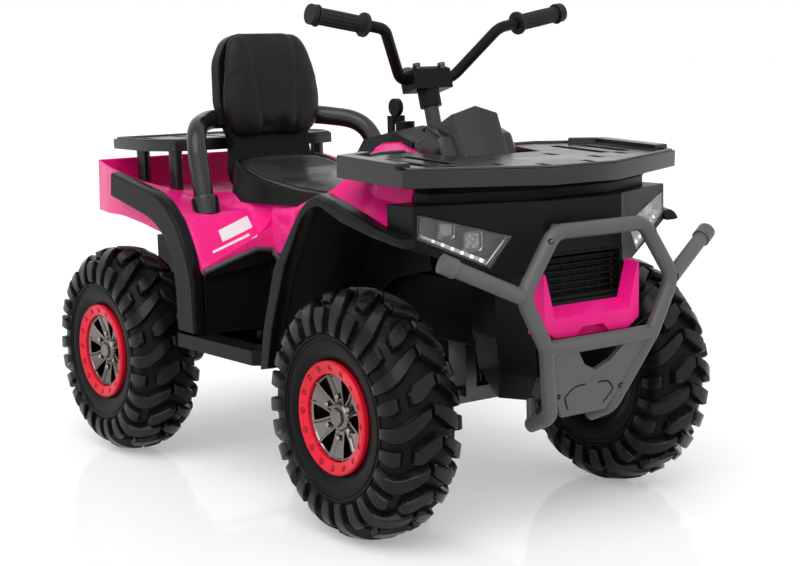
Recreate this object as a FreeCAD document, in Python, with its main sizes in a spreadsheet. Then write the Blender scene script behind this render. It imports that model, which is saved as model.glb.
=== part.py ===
import FreeCAD, Part
import math
import os

import Sketcher

# Kids' battery quad bike, in millimetres: +X forward, +Y to the rider's left, +Z up,
# with the origin on the ground under the middle of the machine.

SIZES = {
    # shared values
    "overrun": 5.0,
    "running_fit": 0.05,
    "seat_gap": 0.3,
    "panel_wall": 5.0,
    # running gear layout
    "front_axle_x": 327.0,
    "wheelbase": 714.0,
    "track": 490.0,
    # tyres
    "tyre_radius": 180.0,
    "lug_height": 12.0,
    "tyre_half_width": 61.0,
    "sidewall_inset": 3.0,
    "tyre_wall": 7.0,
    "shoulder_drop": 28.0,
    "lug_skirt": 12.0,
    "ridge_radius": 3.0,
    "ridge_drop": 5.0,
    # rims and bead rings
    "bead_radius": 79.0,
    "bead_half_width": 46.0,
    "bead_fit": 0.2,
    "rim_half_width": 44.0,
    "rim_wall": 6.0,
    "hub_radius": 24.0,
    "hub_reach": 50.0,
    "dish_lip": 2.0,
    "dish_wall": 9.0,
    "rim_face_inset": 9.0,
    "hub_cap_height": 6.0,
    "hub_hex_radius": 15.0,
    "hub_hex_height": 5.0,
    "window_inner_radius": 36.0,
    "window_outer_radius": 60.0,
    "window_inner_half": 6.0,
    "window_outer_half": 14.0,
    "groove_inner_radius": 29.0,
    "groove_outer_radius": 61.0,
    "groove_half": 3.0,
    "groove_depth": 8.0,
    "spoke_count": 6,
    "ring_outer_radius": 81.4,
    "ring_inner_radius": 63.0,
    "ring_thickness": 8.0,
    "ring_chamfer": 2.5,
    "ring_dish": 5.0,
    "ring_bolt_radius": 4.4,
    "ring_bolt_depth": 5.0,
    "ring_bolt_count": 16,
    # axles and steering
    "axle_radius": 6.0,
    "axle_end_gap": 2.0,
    "beam_size": 22.0,
    "kingpin_offset": 160.0,
    "kingpin_radius": 5.0,
    "kingpin_reach": 4.0,
    "knuckle_radius": 10.0,
    "knuckle_height": 44.0,
    "stub_collar_radius": 9.0,
    "yoke_plate": 6.0,
    "yoke_length": 34.0,
    "steer_arm_length": 55.0,
    "steer_arm_width": 16.0,
    "steer_arm_plate": 7.0,
    "link_pin_radius": 3.5,
    "tie_rod_radius": 4.5,
    "tie_rod_eye_radius": 14.0,
    "tie_rod_eye_lap": 2.0,
    "tie_rod_plate": 5.0,
    "crank_play": 1.8,
    "crank_lift": 2.4,
    "column_rake_run": 122.0,
    "column_rake_rise": 455.0,
    "column_foot_x": 302.0,
    "column_radius": 11.5,
    "column_length": 480.0,
    "crank_width": 25.0,
    "bush_radius": 18.0,
    "collar_radius": 17.0,
    "collar_height": 26.0,
    "bush_inset": 8.0,
    "saddle_offset": 62.0,
    "saddle_width": 20.0,
    "saddle_length": 40.0,
    # handlebar
    "clamp_length": 36.0,
    "clamp_width": 72.0,
    "clamp_base_height": 18.0,
    "clamp_cap_height": 17.0,
    "clamp_chamfer": 5.0,
    "clamp_bolt_radius": 4.0,
    "clamp_bolt_spread": 24.0,
    "clamp_bolt_gap": 13.2,
    "clamp_bolt_depth": 14.0,
    "clamp_bolt_head_radius": 6.0,
    "clamp_bolt_head": 5.0,
    "bar_radius": 8.5,
    "bar_flat_half": 50.0,
    "bar_riser_half": 110.0,
    "bar_riser_forward": 64.0,
    "bar_riser_rise": 62.0,
    "bar_end_half": 238.0,
    "bar_end_forward": 68.0,
    "bar_end_rise": 84.0,
    "bar_bend_radius": 26.0,
    "grip_radius": 11.8,
    "grip_length": 94.0,
    "grip_cap_wall": 4.0,
    "grip_flange_radius": 18.0,
    "grip_flange_width": 6.0,
    "grip_end_radius": 15.0,
    "grip_end_width": 9.0,
    # chassis tub
    "tub_top_z": 360.0,
    "tub_floor_z": 197.0,
    "tub_front_floor_z": 266.0,
    "tub_rear_floor_z": 240.0,
    "tub_front_x": 392.0,
    "tub_step_front_x": 234.0,
    "tub_step_rear_x": -203.0,
    "tub_rear_x": -513.0,
    "tub_step_run": 22.0,
    "tub_half_width": 112.0,
    "tub_front_half_width": 95.0,
    "tub_shoulder_x": 76.0,
    "bay_wall": 8.0,
    "battery_bay_front_x": 72.0,
    "battery_bay_rear_x": -168.0,
    "rear_bay_front_x": -228.0,
    "front_bay_rear_x": 122.0,
    "front_bay_front_x": 217.0,
    "battery_length": 151.0,
    "battery_width": 98.0,
    "battery_height": 95.0,
    # footwells
    "bulkhead_front_x": -118.0,
    "bulkhead_depth": 50.0,
    "bulkhead_outer_y": 240.0,
    "bulkhead_outer_z": 334.0,
    "footboard_top_z": 236.0,
    "footboard_height": 23.0,
    "footboard_front_x": 84.0,
    "footboard_outer_y": 266.0,
    "footboard_corner": 20.0,
    "footboard_tread_depth": 6.0,
    "footboard_tread_margin": 14.0,
    "footboard_rib_width": 7.0,
    "footboard_rib_pitch": 26.0,
    "footboard_rib_count": 6,
    # rear drive
    "bracket_width": 18.0,
    "bracket_length": 40.0,
    "bracket_drop": 14.0,
    "gearbox_outer_y": 178.0,
    "gearbox_radius": 42.0,
    "gearbox_sleeve_radius": 18.0,
    "motor_radius": 17.0,
    "motor_length": 62.0,
    "motor_offset_x": 42.0,
    "motor_offset_z": 20.0,
    # rear bodywork
    "rear_body_front_x": -43.0,
    "rear_body_length": 500.0,
    "rear_body_half_width": 243.0,
    "rear_body_base_z": 334.0,
    "deck_z": 452.0,
    "trim_width": 22.0,
    "trim_wall": 7.0,
    "trim_front_x": -114.0,
    "trim_length": 276.0,
    "trim_height": 256.0,
    # front bodywork
    "cowl_rear_x": 190.0,
    "cowl_length": 196.0,
    "cowl_base_z": 440.0,
    "cowl_height": 84.0,
    "flank_half_width": 114.0,
    "fender_outer_y": 264.0,
    "fender_width": 30.0,
    "fender_length": 380.0,
    "fender_height": 277.0,
    "liner_wall": 5.0,
    "fascia_front_x": 524.0,
    "fascia_half_width": 238.0,
    "fascia_base_z": 381.0,
    "fascia_top_z": 480.0,
    "fascia_rear_x": 386.0,
    "fascia_nose_half": 74.0,
    "fascia_corner_half": 92.0,
    "fascia_corner_step": 17.0,
    "fascia_sweep_share": 0.415,
    "fascia_waist_half": 125.0,
    "fascia_outer_rise": 45.0,
    "lamp_inner_y": 110.0,
    "lamp_outer_y": 234.0,
    "lamp_base_z": 391.0,
    "lamp_height": 78.0,
    "lamp_depth": 26.0,
    "lamp_lens_wall": 4.0,
    "lamp_rim": 3.0,
    "nose_front_x": 520.0,
    "nose_length": 128.0,
    "nose_half_width": 116.0,
    "nose_base_z": 194.0,
    "nose_end_wall": 20.0,
    "grille_half_width": 84.0,
    "grille_base_z": 338.0,
    "grille_depth": 24.0,
    "grille_back": 5.0,
    "grille_frame": 6.0,
    "louvre_height": 4.0,
    "louvre_pitch": 9.0,
    "louvre_count": 6,
    "grille_rib_width": 3.0,
    "grille_rib_pitch": 24.0,
    "grille_rib_count": 7,
    "mask_thickness": 21.0,
    "mask_half_width": 112.0,
    "mask_base_z": 287.0,
    "mask_height": 100.0,
    "mask_slot_half": 40.0,
    "mask_slot_height": 16.0,
    # tank cover and dash hood
    "tank_rear_x": 40.0,
    "tank_length": 232.0,
    "tank_half_width": 92.0,
    "tank_base_z": 500.0,
    "tank_height": 72.0,
    "tank_cap_radius": 15.0,
    "tank_cap_height": 6.0,
    "tank_cap_x": 130.0,
    "tank_cap_y": -10.0,
    "hood_rear_x": 217.0,
    "hood_length": 132.0,
    "hood_half_width": 62.0,
    "hood_height": 105.0,
    "column_hole_radius": 20.0,
    "lever_x": 93.0,
    "lever_radius": 4.0,
    "lever_length": 20.0,
    "lever_knob_radius": 14.0,
    "lever_knob_width": 9.0,
    "lever_pivot_radius": 7.0,
    "lever_pivot_width": 14.0,
    "lever_bracket_wall": 5.0,
    # racks
    "front_rack_front_x": 532.0,
    "front_rack_length": 286.0,
    "front_rack_half_width": 258.0,
    "front_rack_front_z": 525.0,
    "front_rack_thickness": 24.0,
    "front_rack_pitch": 3.0,
    "front_rack_pad_height": 8.0,
    "rear_rack_front_x": -320.0,
    "rear_rack_length": 208.0,
    "rear_rack_half_width": 194.0,
    "rear_rack_top_z": 541.0,
    "rear_rack_thickness": 18.0,
    "rack_slot_radius": 6.0,
    "rack_post_radius": 12.0,
    "rack_post_y": 150.0,
    "rack_post_rear_x": -480.0,
    "rack_post_front_x": -360.0,
    # seat
    "seat_rear_x": -264.0,
    "seat_length": 300.0,
    "seat_half_width": 106.0,
    "seat_base_height": 14.0,
    "seat_rim_height": 34.0,
    "seat_tuck": 4.0,
    "seat_lip": 3.0,
    "seat_play": 0.8,
    "seat_wall": 8.0,
    "seat_flare": 12.0,
    "seat_skirt": 30.0,
    "backrest_base_x": -280.0,
    "backrest_width": 198.0,
    "backrest_lean_run": 24.0,
    "backrest_lean_rise": 180.0,
    "backrest_base_z": 550.0,
    "backrest_height": 176.0,
    "backrest_frame_depth": 26.0,
    "backrest_pad_depth": 30.0,
    "backrest_pad_margin": 8.0,
    "backrest_corner": 64.0,
    "seam_depth": 3.0,
    "seam_width": 4.0,
    "armrest_radius": 17.0,
    "armrest_collar_half": 24.0,
    "armrest_collar_height": 14.0,
    "armrest_foot_x": -186.0,
    "armrest_foot_y": 190.0,
    "armrest_top_z": 563.0,
    "armrest_bend_x": -234.0,
    "armrest_bend_y": 182.0,
    "armrest_back_x": -303.0,
    "armrest_back_y": 118.0,
    "armrest_inner_y": 86.0,
    "armrest_back_z": 577.0,
    "armrest_bend_radius": 40.0,
    # bull bar
    "bull_tube_radius": 11.0,
    "bull_cap_radius": 13.5,
    "bull_cap_length": 22.0,
    "bull_front_x": 556.0,
    "bull_top_z": 441.0,
    "bull_top_half": 84.0,
    "bull_kink_half": 142.0,
    "bull_kink_z": 359.0,
    "bull_cross_half": 100.0,
    "bull_cross_z": 283.0,
    "bull_foot_half": 58.0,
    "bull_foot_x": 515.0,
    "bull_foot_z": 176.0,
    "bull_hook_x": 474.0,
    "bull_hook_z": 158.0,
    "bull_horn_x": 521.0,
    "bull_horn_half": 251.0,
    "bull_horn_z": 412.0,
    "bull_bend_radius": 30.0,
    "bull_mount_half": 56.0,
    "bull_stay_radius": 6.0,
    "bull_mount_radius": 7.0,
    "bull_plate_wall": 6.0,
    # accelerator
    "pedal_length": 84.0,
    "pedal_width": 44.0,
    "pedal_plate": 6.0,
    "pedal_tilt": 16.0,
    "pedal_pin_height": 9.0,
    "pedal_pin_radius": 3.0,
    "pedal_x": -12.0,
    "pedal_y": -178.0,
    "pedal_ear": 5.0,
    "pedal_ear_radius": 7.0,
}

doc = FreeCAD.newDocument("quad_bike")
sheet = doc.addObject("Spreadsheet::Sheet", "sizes")
for cell, (alias, amount) in enumerate(SIZES.items(), start=1):
    sheet.set(f"A{cell}", alias)
    sheet.set(f"B{cell}", str(amount))
    sheet.setAlias(f"B{cell}", alias)
doc.recompute()


# Sizes that keep both their number and their expression

class Size:
    """A length with its value now and the expression that keeps it live."""

    def __init__(self, value, text):
        self.value = value
        self.text = text

    def __add__(self, other):
        return Size(self.value + number(other), f"({self.text} + {text(other)})")

    def __radd__(self, other):
        return Size(number(other) + self.value, f"({text(other)} + {self.text})")

    def __sub__(self, other):
        return Size(self.value - number(other), f"({self.text} - {text(other)})")

    def __rsub__(self, other):
        return Size(number(other) - self.value, f"({text(other)} - {self.text})")

    def __mul__(self, other):
        return Size(self.value * number(other), f"({self.text} * {text(other)})")

    def __rmul__(self, other):
        return Size(number(other) * self.value, f"({text(other)} * {self.text})")

    def __truediv__(self, other):
        return Size(self.value / number(other), f"({self.text} / {text(other)})")

    def __neg__(self):
        return Size(-self.value, f"(-1 * {self.text})")


def number(length):
    return length.value if isinstance(length, Size) else float(length)


def text(length):
    return length.text if isinstance(length, Size) else repr(float(length))


class SizeBook:
    """The sheet's cells by name."""

    def __getattr__(self, alias):
        return Size(float(sheet.get(alias)), f"sizes.{alias}")


mm = SizeBook()
rear_axle_x = mm.front_axle_x - mm.wheelbase
axle_z = mm.tyre_radius
wheel_y = mm.track / 2
Y_AXIS = FreeCAD.Vector(0, 1, 0)
Z_AXIS = FreeCAD.Vector(0, 0, 1)
ORIGIN = FreeCAD.Vector(0, 0, 0)
FULL_TURN = 360.0
HALF_TURN = 180.0
pieces = []


def point(x, y, z):
    return FreeCAD.Vector(number(x), number(y), number(z))


def piece(part, name):
    part.Label = name
    pieces.append(part)
    return part


# Document building blocks

def bind(part, values):
    for prop, length in values.items():
        part.setExpression(prop, text(length))


def place(part, x, y, z):
    bind(part, {".Placement.Base.x": x, ".Placement.Base.y": y, ".Placement.Base.z": z})


def box(name, length, width, height, x, y, z):
    """A box with its low corner at x, y, z."""
    part = doc.addObject("Part::Box", name)
    bind(part, {"Length": length, "Width": width, "Height": height})
    place(part, x, y, z)
    return part


def cylinder(name, radius, height, x, y, z, axis=Z_AXIS):
    part = doc.addObject("Part::Cylinder", name)
    bind(part, {"Radius": radius, "Height": height})
    part.Placement.Rotation = FreeCAD.Rotation(Z_AXIS, axis)
    place(part, x, y, z)
    return part


def fused(name, parts):
    part = doc.addObject("Part::MultiFuse", name)
    part.Shapes = parts
    return part


def cut(name, base, tool):
    part = doc.addObject("Part::Cut", name)
    part.Base = base
    part.Tool = tool
    return part


def mirrored(name, source):
    part = doc.addObject("Part::Mirroring", name)
    part.Source = source
    part.Normal = Y_AXIS
    return part


def copied(name, source):
    part = doc.addObject("Part::Compound", name)
    part.Links = [source]
    return part


def formed(name, shape):
    part = doc.addObject("Part::Feature", name)
    part.Shape = shape
    return part


def new_body(name):
    return doc.addObject("PartDesign::Body", name)


def sketch(body, role, offset=None):
    flat = body.newObject("Sketcher::SketchObject", f"{body.Name}_{role}")
    planes = [item for item in body.Origin.OriginFeatures if item.Role == role]
    flat.AttachmentSupport = [(planes[0], "")]
    flat.MapMode = "FlatFace"
    if offset is not None:
        flat.setExpression(".AttachmentOffset.Base.z", text(offset))
    return flat


def hold(flat, kind, geometry, corner, length):
    """Tie one point of the sketch to a live length from the sketch's origin."""
    index = flat.addConstraint(Sketcher.Constraint(kind, -1, 1, geometry, corner, number(length)))
    flat.setExpression(f"Constraints[{index}]", text(length))


def draw_polygon(flat, corners):
    first = flat.GeometryCount
    spots = [point(x, y, 0) for x, y in corners]
    for start, end in zip(spots, spots[1:] + spots[:1]):
        flat.addGeometry(Part.LineSegment(start, end), False)
    for step in range(len(corners)):
        following = first + (step + 1) % len(corners)
        flat.addConstraint(Sketcher.Constraint("Coincident", first + step, 2, following, 1))
    for step, (x, y) in enumerate(corners):
        hold(flat, "DistanceX", first + step, 1, x)
        hold(flat, "DistanceY", first + step, 1, y)


def draw_circle(flat, x, y, radius):
    ring = flat.addGeometry(Part.Circle(point(x, y, 0), Z_AXIS, number(radius)), False)
    hold(flat, "DistanceX", ring, 3, x)
    hold(flat, "DistanceY", ring, 3, y)
    index = flat.addConstraint(Sketcher.Constraint("Radius", ring, number(radius)))
    flat.setExpression(f"Constraints[{index}]", text(radius))


def pad(body, flat, length, midplane=False):
    feature = body.newObject("PartDesign::Pad", f"{body.Name}_pad")
    feature.Profile = flat
    feature.Midplane = midplane
    feature.setExpression("Length", text(length))
    return feature


def pocket(body, flat, length=None, midplane=False, reverse=False):
    feature = body.newObject("PartDesign::Pocket", f"{body.Name}_pocket")
    feature.Profile = flat
    feature.Midplane = midplane
    feature.Reversed = reverse
    if length is None:
        feature.Type = "ThroughAll"
    else:
        feature.setExpression("Length", text(length))
    return feature


def revolve(body, flat):
    feature = body.newObject("PartDesign::Revolution", f"{body.Name}_turn")
    feature.Profile = flat
    feature.ReferenceAxis = (flat, ["V_Axis"])
    feature.Angle = FULL_TURN
    return feature


def body_axis(body, role):
    return [item for item in body.Origin.OriginFeatures if item.Role == role][0]


def polar(body, feature, role, count):
    pattern = body.newObject("PartDesign::PolarPattern", f"{body.Name}_ring")
    pattern.Originals = [feature]
    pattern.Axis = (body_axis(body, role), [""])
    pattern.Angle = FULL_TURN
    pattern.setExpression("Occurrences", text(count))
    body.Tip = pattern
    return pattern


def row(body, feature, role, span, count, reverse=False):
    pattern = body.newObject("PartDesign::LinearPattern", f"{body.Name}_row")
    pattern.Originals = [feature]
    pattern.Direction = (body_axis(body, role), [""])
    pattern.Reversed = reverse
    pattern.setExpression("Length", text(span))
    pattern.setExpression("Occurrences", text(count))
    body.Tip = pattern
    return pattern


def twin(body, feature):
    """Repeat a feature on the other side of the machine."""
    pattern = body.newObject("PartDesign::Mirrored", f"{body.Name}_twin")
    pattern.Originals = [feature]
    planes = [item for item in body.Origin.OriginFeatures if item.Role == "XZ_Plane"]
    pattern.MirrorPlane = (planes[0], [""])
    body.Tip = pattern
    return pattern


def spread(shares, start, length, base, height):
    """Turn pairs of shares into points of a frame of named sizes."""
    return [(start + length * across, base + height * up) for across, up in shares]


def both_sides(half):
    """Close a half outline, given as (along, aside) points, over the middle line."""
    return half + [(along, -aside) for along, aside in reversed(half) if number(aside) != 0]


# Forms made with the part functions

# the part of a run that one bend may take up
BEND_ROOM_SHARE = 0.48

def polygon(spots):
    return Part.makePolygon(spots + spots[:1])


def prism(spots, way):
    return Part.Face(polygon(spots)).extrude(way)


def arc(start, middle, end):
    return Part.Arc(start, middle, end).toShape()


def line(start, end):
    return Part.LineSegment(start, end).toShape()


def bent_path(spots, radius):
    """Straight runs through the points, with a tangent arc at each inner point."""
    edges = []
    last = spots[0]
    for before, corner, after in zip(spots, spots[1:], spots[2:]):
        back = (before - corner).normalize()
        ahead = (after - corner).normalize()
        half_angle = back.getAngle(ahead) / 2
        room = BEND_ROOM_SHARE * min((before - corner).Length, (after - corner).Length)
        setback = min(number(radius) / math.tan(half_angle), room)
        start = corner + back * setback
        end = corner + ahead * setback
        bisector = (back + ahead).normalize()
        bend = setback * math.tan(half_angle)
        middle = corner + bisector * (bend / math.sin(half_angle) - bend)
        edges.append(line(last, start))
        edges.append(arc(start, middle, end))
        last = end
    edges.append(line(last, spots[-1]))
    return Part.Wire(edges)


def rounded_outline(spots, radius):
    """A closed outline with a tangent arc at each corner, as large as its runs allow."""
    bends = []
    for index, corner in enumerate(spots):
        before = spots[index - 1]
        after = spots[(index + 1) % len(spots)]
        back = (before - corner).normalize()
        ahead = (after - corner).normalize()
        half_angle = back.getAngle(ahead) / 2
        room = BEND_ROOM_SHARE * min((before - corner).Length, (after - corner).Length)
        setback = min(number(radius) / math.tan(half_angle), room)
        bend = setback * math.tan(half_angle)
        middle = corner + (back + ahead).normalize() * (bend / math.sin(half_angle) - bend)
        bends.append((corner + back * setback, middle, corner + ahead * setback))
    edges = []
    for index, (start, middle, end) in enumerate(bends):
        edges.append(arc(start, middle, end))
        edges.append(line(end, bends[(index + 1) % len(bends)][0]))
    return Part.Wire(edges)


def tube(spots, bend_radius, radius):
    path = bent_path(spots, bend_radius)
    way = spots[1] - spots[0]
    ring = Part.Wire([Part.Circle(spots[0], way, number(radius)).toShape()])
    return path.makePipeShell([ring], True, False)


def rod(start, end, radius):
    way = end - start
    return Part.makeCylinder(number(radius), way.Length, start, way)


def loft_through(sections):
    return Part.makeLoft([polygon(spots) for spots in sections], True, True)


def body_sections(shares, frame, inset):
    """Cross sections of a moulded body, mirrored over the middle plane.

    Each row of shares holds a place along the frame and the points of the half section from the
    ridge to the skirt. The inset moves the points inward, and drops the skirt to leave it open.
    """
    start, length, half_width, base, height = [number(item) for item in frame]
    sections = []
    for place_share, half in shares:
        x = start + length * place_share
        spots = []
        for index, (aside_share, up_share) in enumerate(half):
            aside = max(half_width * aside_share - inset, 0.0)
            up = base + height * up_share - inset
            if inset and index == len(half) - 1:
                up = base - number(mm.overrun)
            spots.append(FreeCAD.Vector(x, aside, up))
        other = [FreeCAD.Vector(spot.x, -spot.y, spot.z) for spot in reversed(spots) if spot.y > 0]
        sections.append(spots + other)
    return sections


def moulded_shell(shares, frame, wall, open_start, open_end):
    """A shell of even wall that is open below, and at the ends that are named open."""
    outer = loft_through(body_sections(shares, frame, 0.0))
    core_sections = body_sections(shares, frame, number(wall))
    way = 1.0 if number(frame[1]) > 0 else -1.0
    start_shift = -number(mm.overrun) if open_start else number(wall)
    end_shift = number(mm.overrun) if open_end else -number(wall)
    for spot in core_sections[0]:
        spot.x += way * start_shift
    for spot in core_sections[-1]:
        spot.x += way * end_shift
    return outer.cut(loft_through(core_sections))


# Wheels: one tyre, rim and bead ring, placed four times

LUG_COUNT = 14
# each lug as (share of the pitch, share of the half width) points
HOOK_LUG_SHARES = (
    (-0.26, 1.05), (0.06, 1.05), (0.12, 0.70), (0.42, 0.32),
    (0.52, 0.05), (0.26, 0.0), (0.10, 0.26), (-0.16, 0.62),
)
MIDDLE_LUG_SHARES = ((0.26, 0.80), (0.64, 0.80), (0.76, 0.52), (0.96, 0.22), (0.66, 0.15), (0.34, 0.54))
SHOULDER_LUG_SHARES = ((0.18, 1.05), (0.60, 1.05), (0.57, 0.89), (0.23, 0.89))


def make_tyre():
    casing_radius = mm.tyre_radius - mm.lug_height
    shoulder_radius = mm.tyre_radius - mm.shoulder_drop
    bulge = mm.tyre_half_width - mm.sidewall_inset
    shoulder = bulge - mm.sidewall_inset
    bulge_radius = (mm.bead_radius + shoulder_radius) / 2

    def at(radius, aside):
        return point(radius, aside, 0)

    def tread_band(bead, side, edge, crown, low_radius, edge_radius):
        return [
            arc(at(low_radius, bead), at(bulge_radius, side), at(edge_radius, edge)),
            arc(at(edge_radius, edge), at(crown, 0), at(edge_radius, -edge)),
            arc(at(edge_radius, -edge), at(bulge_radius, -side), at(low_radius, -bead)),
        ]

    bead = mm.bead_half_width
    inner_bead = bead - mm.tyre_wall
    outside = tread_band(bead, bulge, shoulder, casing_radius, mm.bead_radius, shoulder_radius)
    inside = tread_band(
        inner_bead, bulge - mm.tyre_wall, shoulder - mm.tyre_wall,
        casing_radius - mm.tyre_wall, mm.bead_radius, shoulder_radius - mm.tyre_wall,
    )
    rims = [
        line(at(mm.bead_radius, bead), at(mm.bead_radius, inner_bead)),
        line(at(mm.bead_radius, -bead), at(mm.bead_radius, -inner_bead)),
    ]
    wire = Part.Wire(Part.__sortEdges__(outside + inside + rims))
    casing = Part.Face(wire).revolve(ORIGIN, Y_AXIS, FULL_TURN)

    low = shoulder_radius - mm.lug_skirt
    half = mm.tyre_half_width
    core_half = bulge - mm.tyre_wall
    core_crown = casing_radius - mm.tyre_wall / 2
    envelope = Part.Wire([
        line(at(low, half), at(shoulder_radius, half)),
        arc(at(shoulder_radius, half), at(mm.tyre_radius, 0), at(shoulder_radius, -half)),
        line(at(shoulder_radius, -half), at(low, -half)),
        line(at(low, -half), at(low, -core_half)),
        arc(at(low, -core_half), at(core_crown, 0), at(low, core_half)),
        line(at(low, core_half), at(low, half)),
    ])
    tread = Part.Face(envelope).revolve(ORIGIN, Y_AXIS, FULL_TURN)

    pitch = 2 * math.pi * mm.tyre_radius / LUG_COUNT
    lugs = []
    for shares in (HOOK_LUG_SHARES, MIDDLE_LUG_SHARES, SHOULDER_LUG_SHARES):
        middle = sum(along for along, aside in shares) / len(shares)
        spots = [point(low, half * aside, pitch * (along - middle)) for along, aside in shares]
        lug = tread.common(prism(spots, point(mm.tyre_radius, 0, 0)))
        lug.rotate(ORIGIN, Y_AXIS, -FULL_TURN * middle / LUG_COUNT)
        lugs.append(lug)
    far_lugs = []
    for lug in lugs:
        far = lug.mirror(ORIGIN, Y_AXIS)
        far.rotate(ORIGIN, Y_AXIS, HALF_TURN / LUG_COUNT)
        far_lugs.append(far)
    tread_blocks = []
    for step in range(LUG_COUNT):
        for lug in lugs + far_lugs:
            block = lug.copy()
            block.rotate(ORIGIN, Y_AXIS, FULL_TURN * step / LUG_COUNT)
            tread_blocks.append(block)

    # a round ridge on each sidewall, just inside the lugs
    flank = outside[0].Curve
    ridge_at = number(low - mm.ridge_drop)
    ridge_y = flank.Center.y + math.sqrt(flank.Radius ** 2 - (ridge_at - flank.Center.x) ** 2)
    ridges = [Part.makeTorus(ridge_at, number(mm.ridge_radius), FreeCAD.Vector(0, y, 0), Y_AXIS)
              for y in (ridge_y, -ridge_y)]
    return casing.multiFuse(tread_blocks + ridges)


HUB_CAP_SHARE = 0.8
HEX_COUNT = 6
barrel_radius = mm.bead_radius - mm.bead_fit
barrel_bore = barrel_radius - mm.rim_wall
axle_bore = mm.axle_radius + mm.running_fit
hub_face = mm.rim_half_width - mm.rim_face_inset
hub_cap_face = hub_face + mm.hub_cap_height


def make_rim():
    body = new_body("rim")
    profile = sketch(body, "XY_Plane")
    dish_edge = mm.rim_half_width - mm.dish_lip
    draw_polygon(profile, [
        (axle_bore, -mm.hub_reach),
        (mm.hub_radius, -mm.hub_reach),
        (mm.hub_radius, hub_face - mm.dish_wall),
        (barrel_bore, dish_edge - mm.dish_wall),
        (barrel_bore, -mm.rim_half_width),
        (barrel_radius, -mm.rim_half_width),
        (barrel_radius, mm.rim_half_width),
        (barrel_bore, mm.rim_half_width),
        (barrel_bore, dish_edge),
        (mm.hub_radius, hub_face),
        (mm.hub_radius * HUB_CAP_SHARE, hub_cap_face),
        (0, hub_cap_face),
        (0, hub_face),
        (axle_bore, hub_face),
    ])
    revolve(body, profile)
    doc.recompute()
    window = sketch(body, "XZ_Plane")
    draw_polygon(window, [
        (mm.window_inner_radius, -mm.window_inner_half),
        (mm.window_outer_radius, -mm.window_outer_half),
        (mm.window_outer_radius, mm.window_outer_half),
        (mm.window_inner_radius, mm.window_inner_half),
    ])
    opening = pocket(body, window, mm.rim_half_width * 2, midplane=True)
    doc.recompute()
    polar(body, opening, "Y_Axis", mm.spoke_count)
    doc.recompute()
    # a groove along each spoke, half a step on from the windows
    turn = HALF_TURN / number(mm.spoke_count)
    along = math.cos(math.radians(turn))
    across = math.sin(math.radians(turn))
    groove = sketch(body, "XZ_Plane", -dish_edge)
    draw_polygon(groove, [
        (mm.groove_inner_radius * along + mm.groove_half * across,
         mm.groove_inner_radius * across - mm.groove_half * along),
        (mm.groove_outer_radius * along + mm.groove_half * across,
         mm.groove_outer_radius * across - mm.groove_half * along),
        (mm.groove_outer_radius * along - mm.groove_half * across,
         mm.groove_outer_radius * across + mm.groove_half * along),
        (mm.groove_inner_radius * along - mm.groove_half * across,
         mm.groove_inner_radius * across + mm.groove_half * along),
    ])
    channel = pocket(body, groove, mm.groove_depth, reverse=True)
    doc.recompute()
    polar(body, channel, "Y_Axis", mm.spoke_count)
    doc.recompute()
    # the six-sided nose of the hub cap
    nose = sketch(body, "XZ_Plane", -(hub_cap_face + mm.hub_hex_height))
    turns = [math.radians(FULL_TURN / HEX_COUNT * step) for step in range(HEX_COUNT)]
    draw_polygon(nose, [(mm.hub_hex_radius * math.cos(turn), mm.hub_hex_radius * math.sin(turn))
                        for turn in turns])
    pad(body, nose, mm.hub_hex_height + mm.hub_cap_height / 2)
    return body


def make_bead_ring():
    body = new_body("bead_ring")
    profile = sketch(body, "XY_Plane")
    seat = mm.rim_half_width
    face = seat + mm.ring_thickness + mm.ring_chamfer * 2
    spigot = barrel_radius - mm.ring_chamfer / 2
    ledge = mm.bead_half_width + mm.ring_chamfer
    draw_polygon(profile, [
        (mm.ring_inner_radius, seat),
        (spigot, seat),
        (spigot, ledge),
        (mm.ring_outer_radius, ledge),
        (mm.ring_outer_radius, face - mm.ring_chamfer),
        (mm.ring_outer_radius - mm.ring_chamfer, face),
        (mm.ring_inner_radius, face - mm.ring_dish),
    ])
    revolve(body, profile)
    doc.recompute()
    # the sketch plane looks along -Y, so the outer face lies behind it
    spot = sketch(body, "XZ_Plane", -face)
    draw_circle(spot, (mm.ring_inner_radius + mm.ring_outer_radius) / 2, 0, mm.ring_bolt_radius)
    recess = pocket(body, spot, mm.ring_bolt_depth, reverse=True)
    doc.recompute()
    polar(body, recess, "Y_Axis", mm.ring_bolt_count)
    return body


wheel_pieces = (
    ("tyre", formed("tyre_form", make_tyre())),
    ("rim", make_rim()),
    ("bead_ring", make_bead_ring()),
)
for end, axle_x in (("front", mm.front_axle_x), ("rear", rear_axle_x)):
    for side, aside in (("right", -wheel_y), ("left", wheel_y)):
        for label, source in wheel_pieces:
            part = copied(f"{end}_{side}_{label}", source)
            if side == "right":
                part.Placement.Rotation = FreeCAD.Rotation(Z_AXIS, HALF_TURN)
            place(part, axle_x, aside, axle_z)
            piece(part, f"{end}_{side}_{label}")


# Front axle beam with its yokes and saddles

yoke_gap = mm.knuckle_height / 2 + mm.seat_gap
beam_end = mm.kingpin_offset - mm.knuckle_radius - mm.yoke_plate


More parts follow.
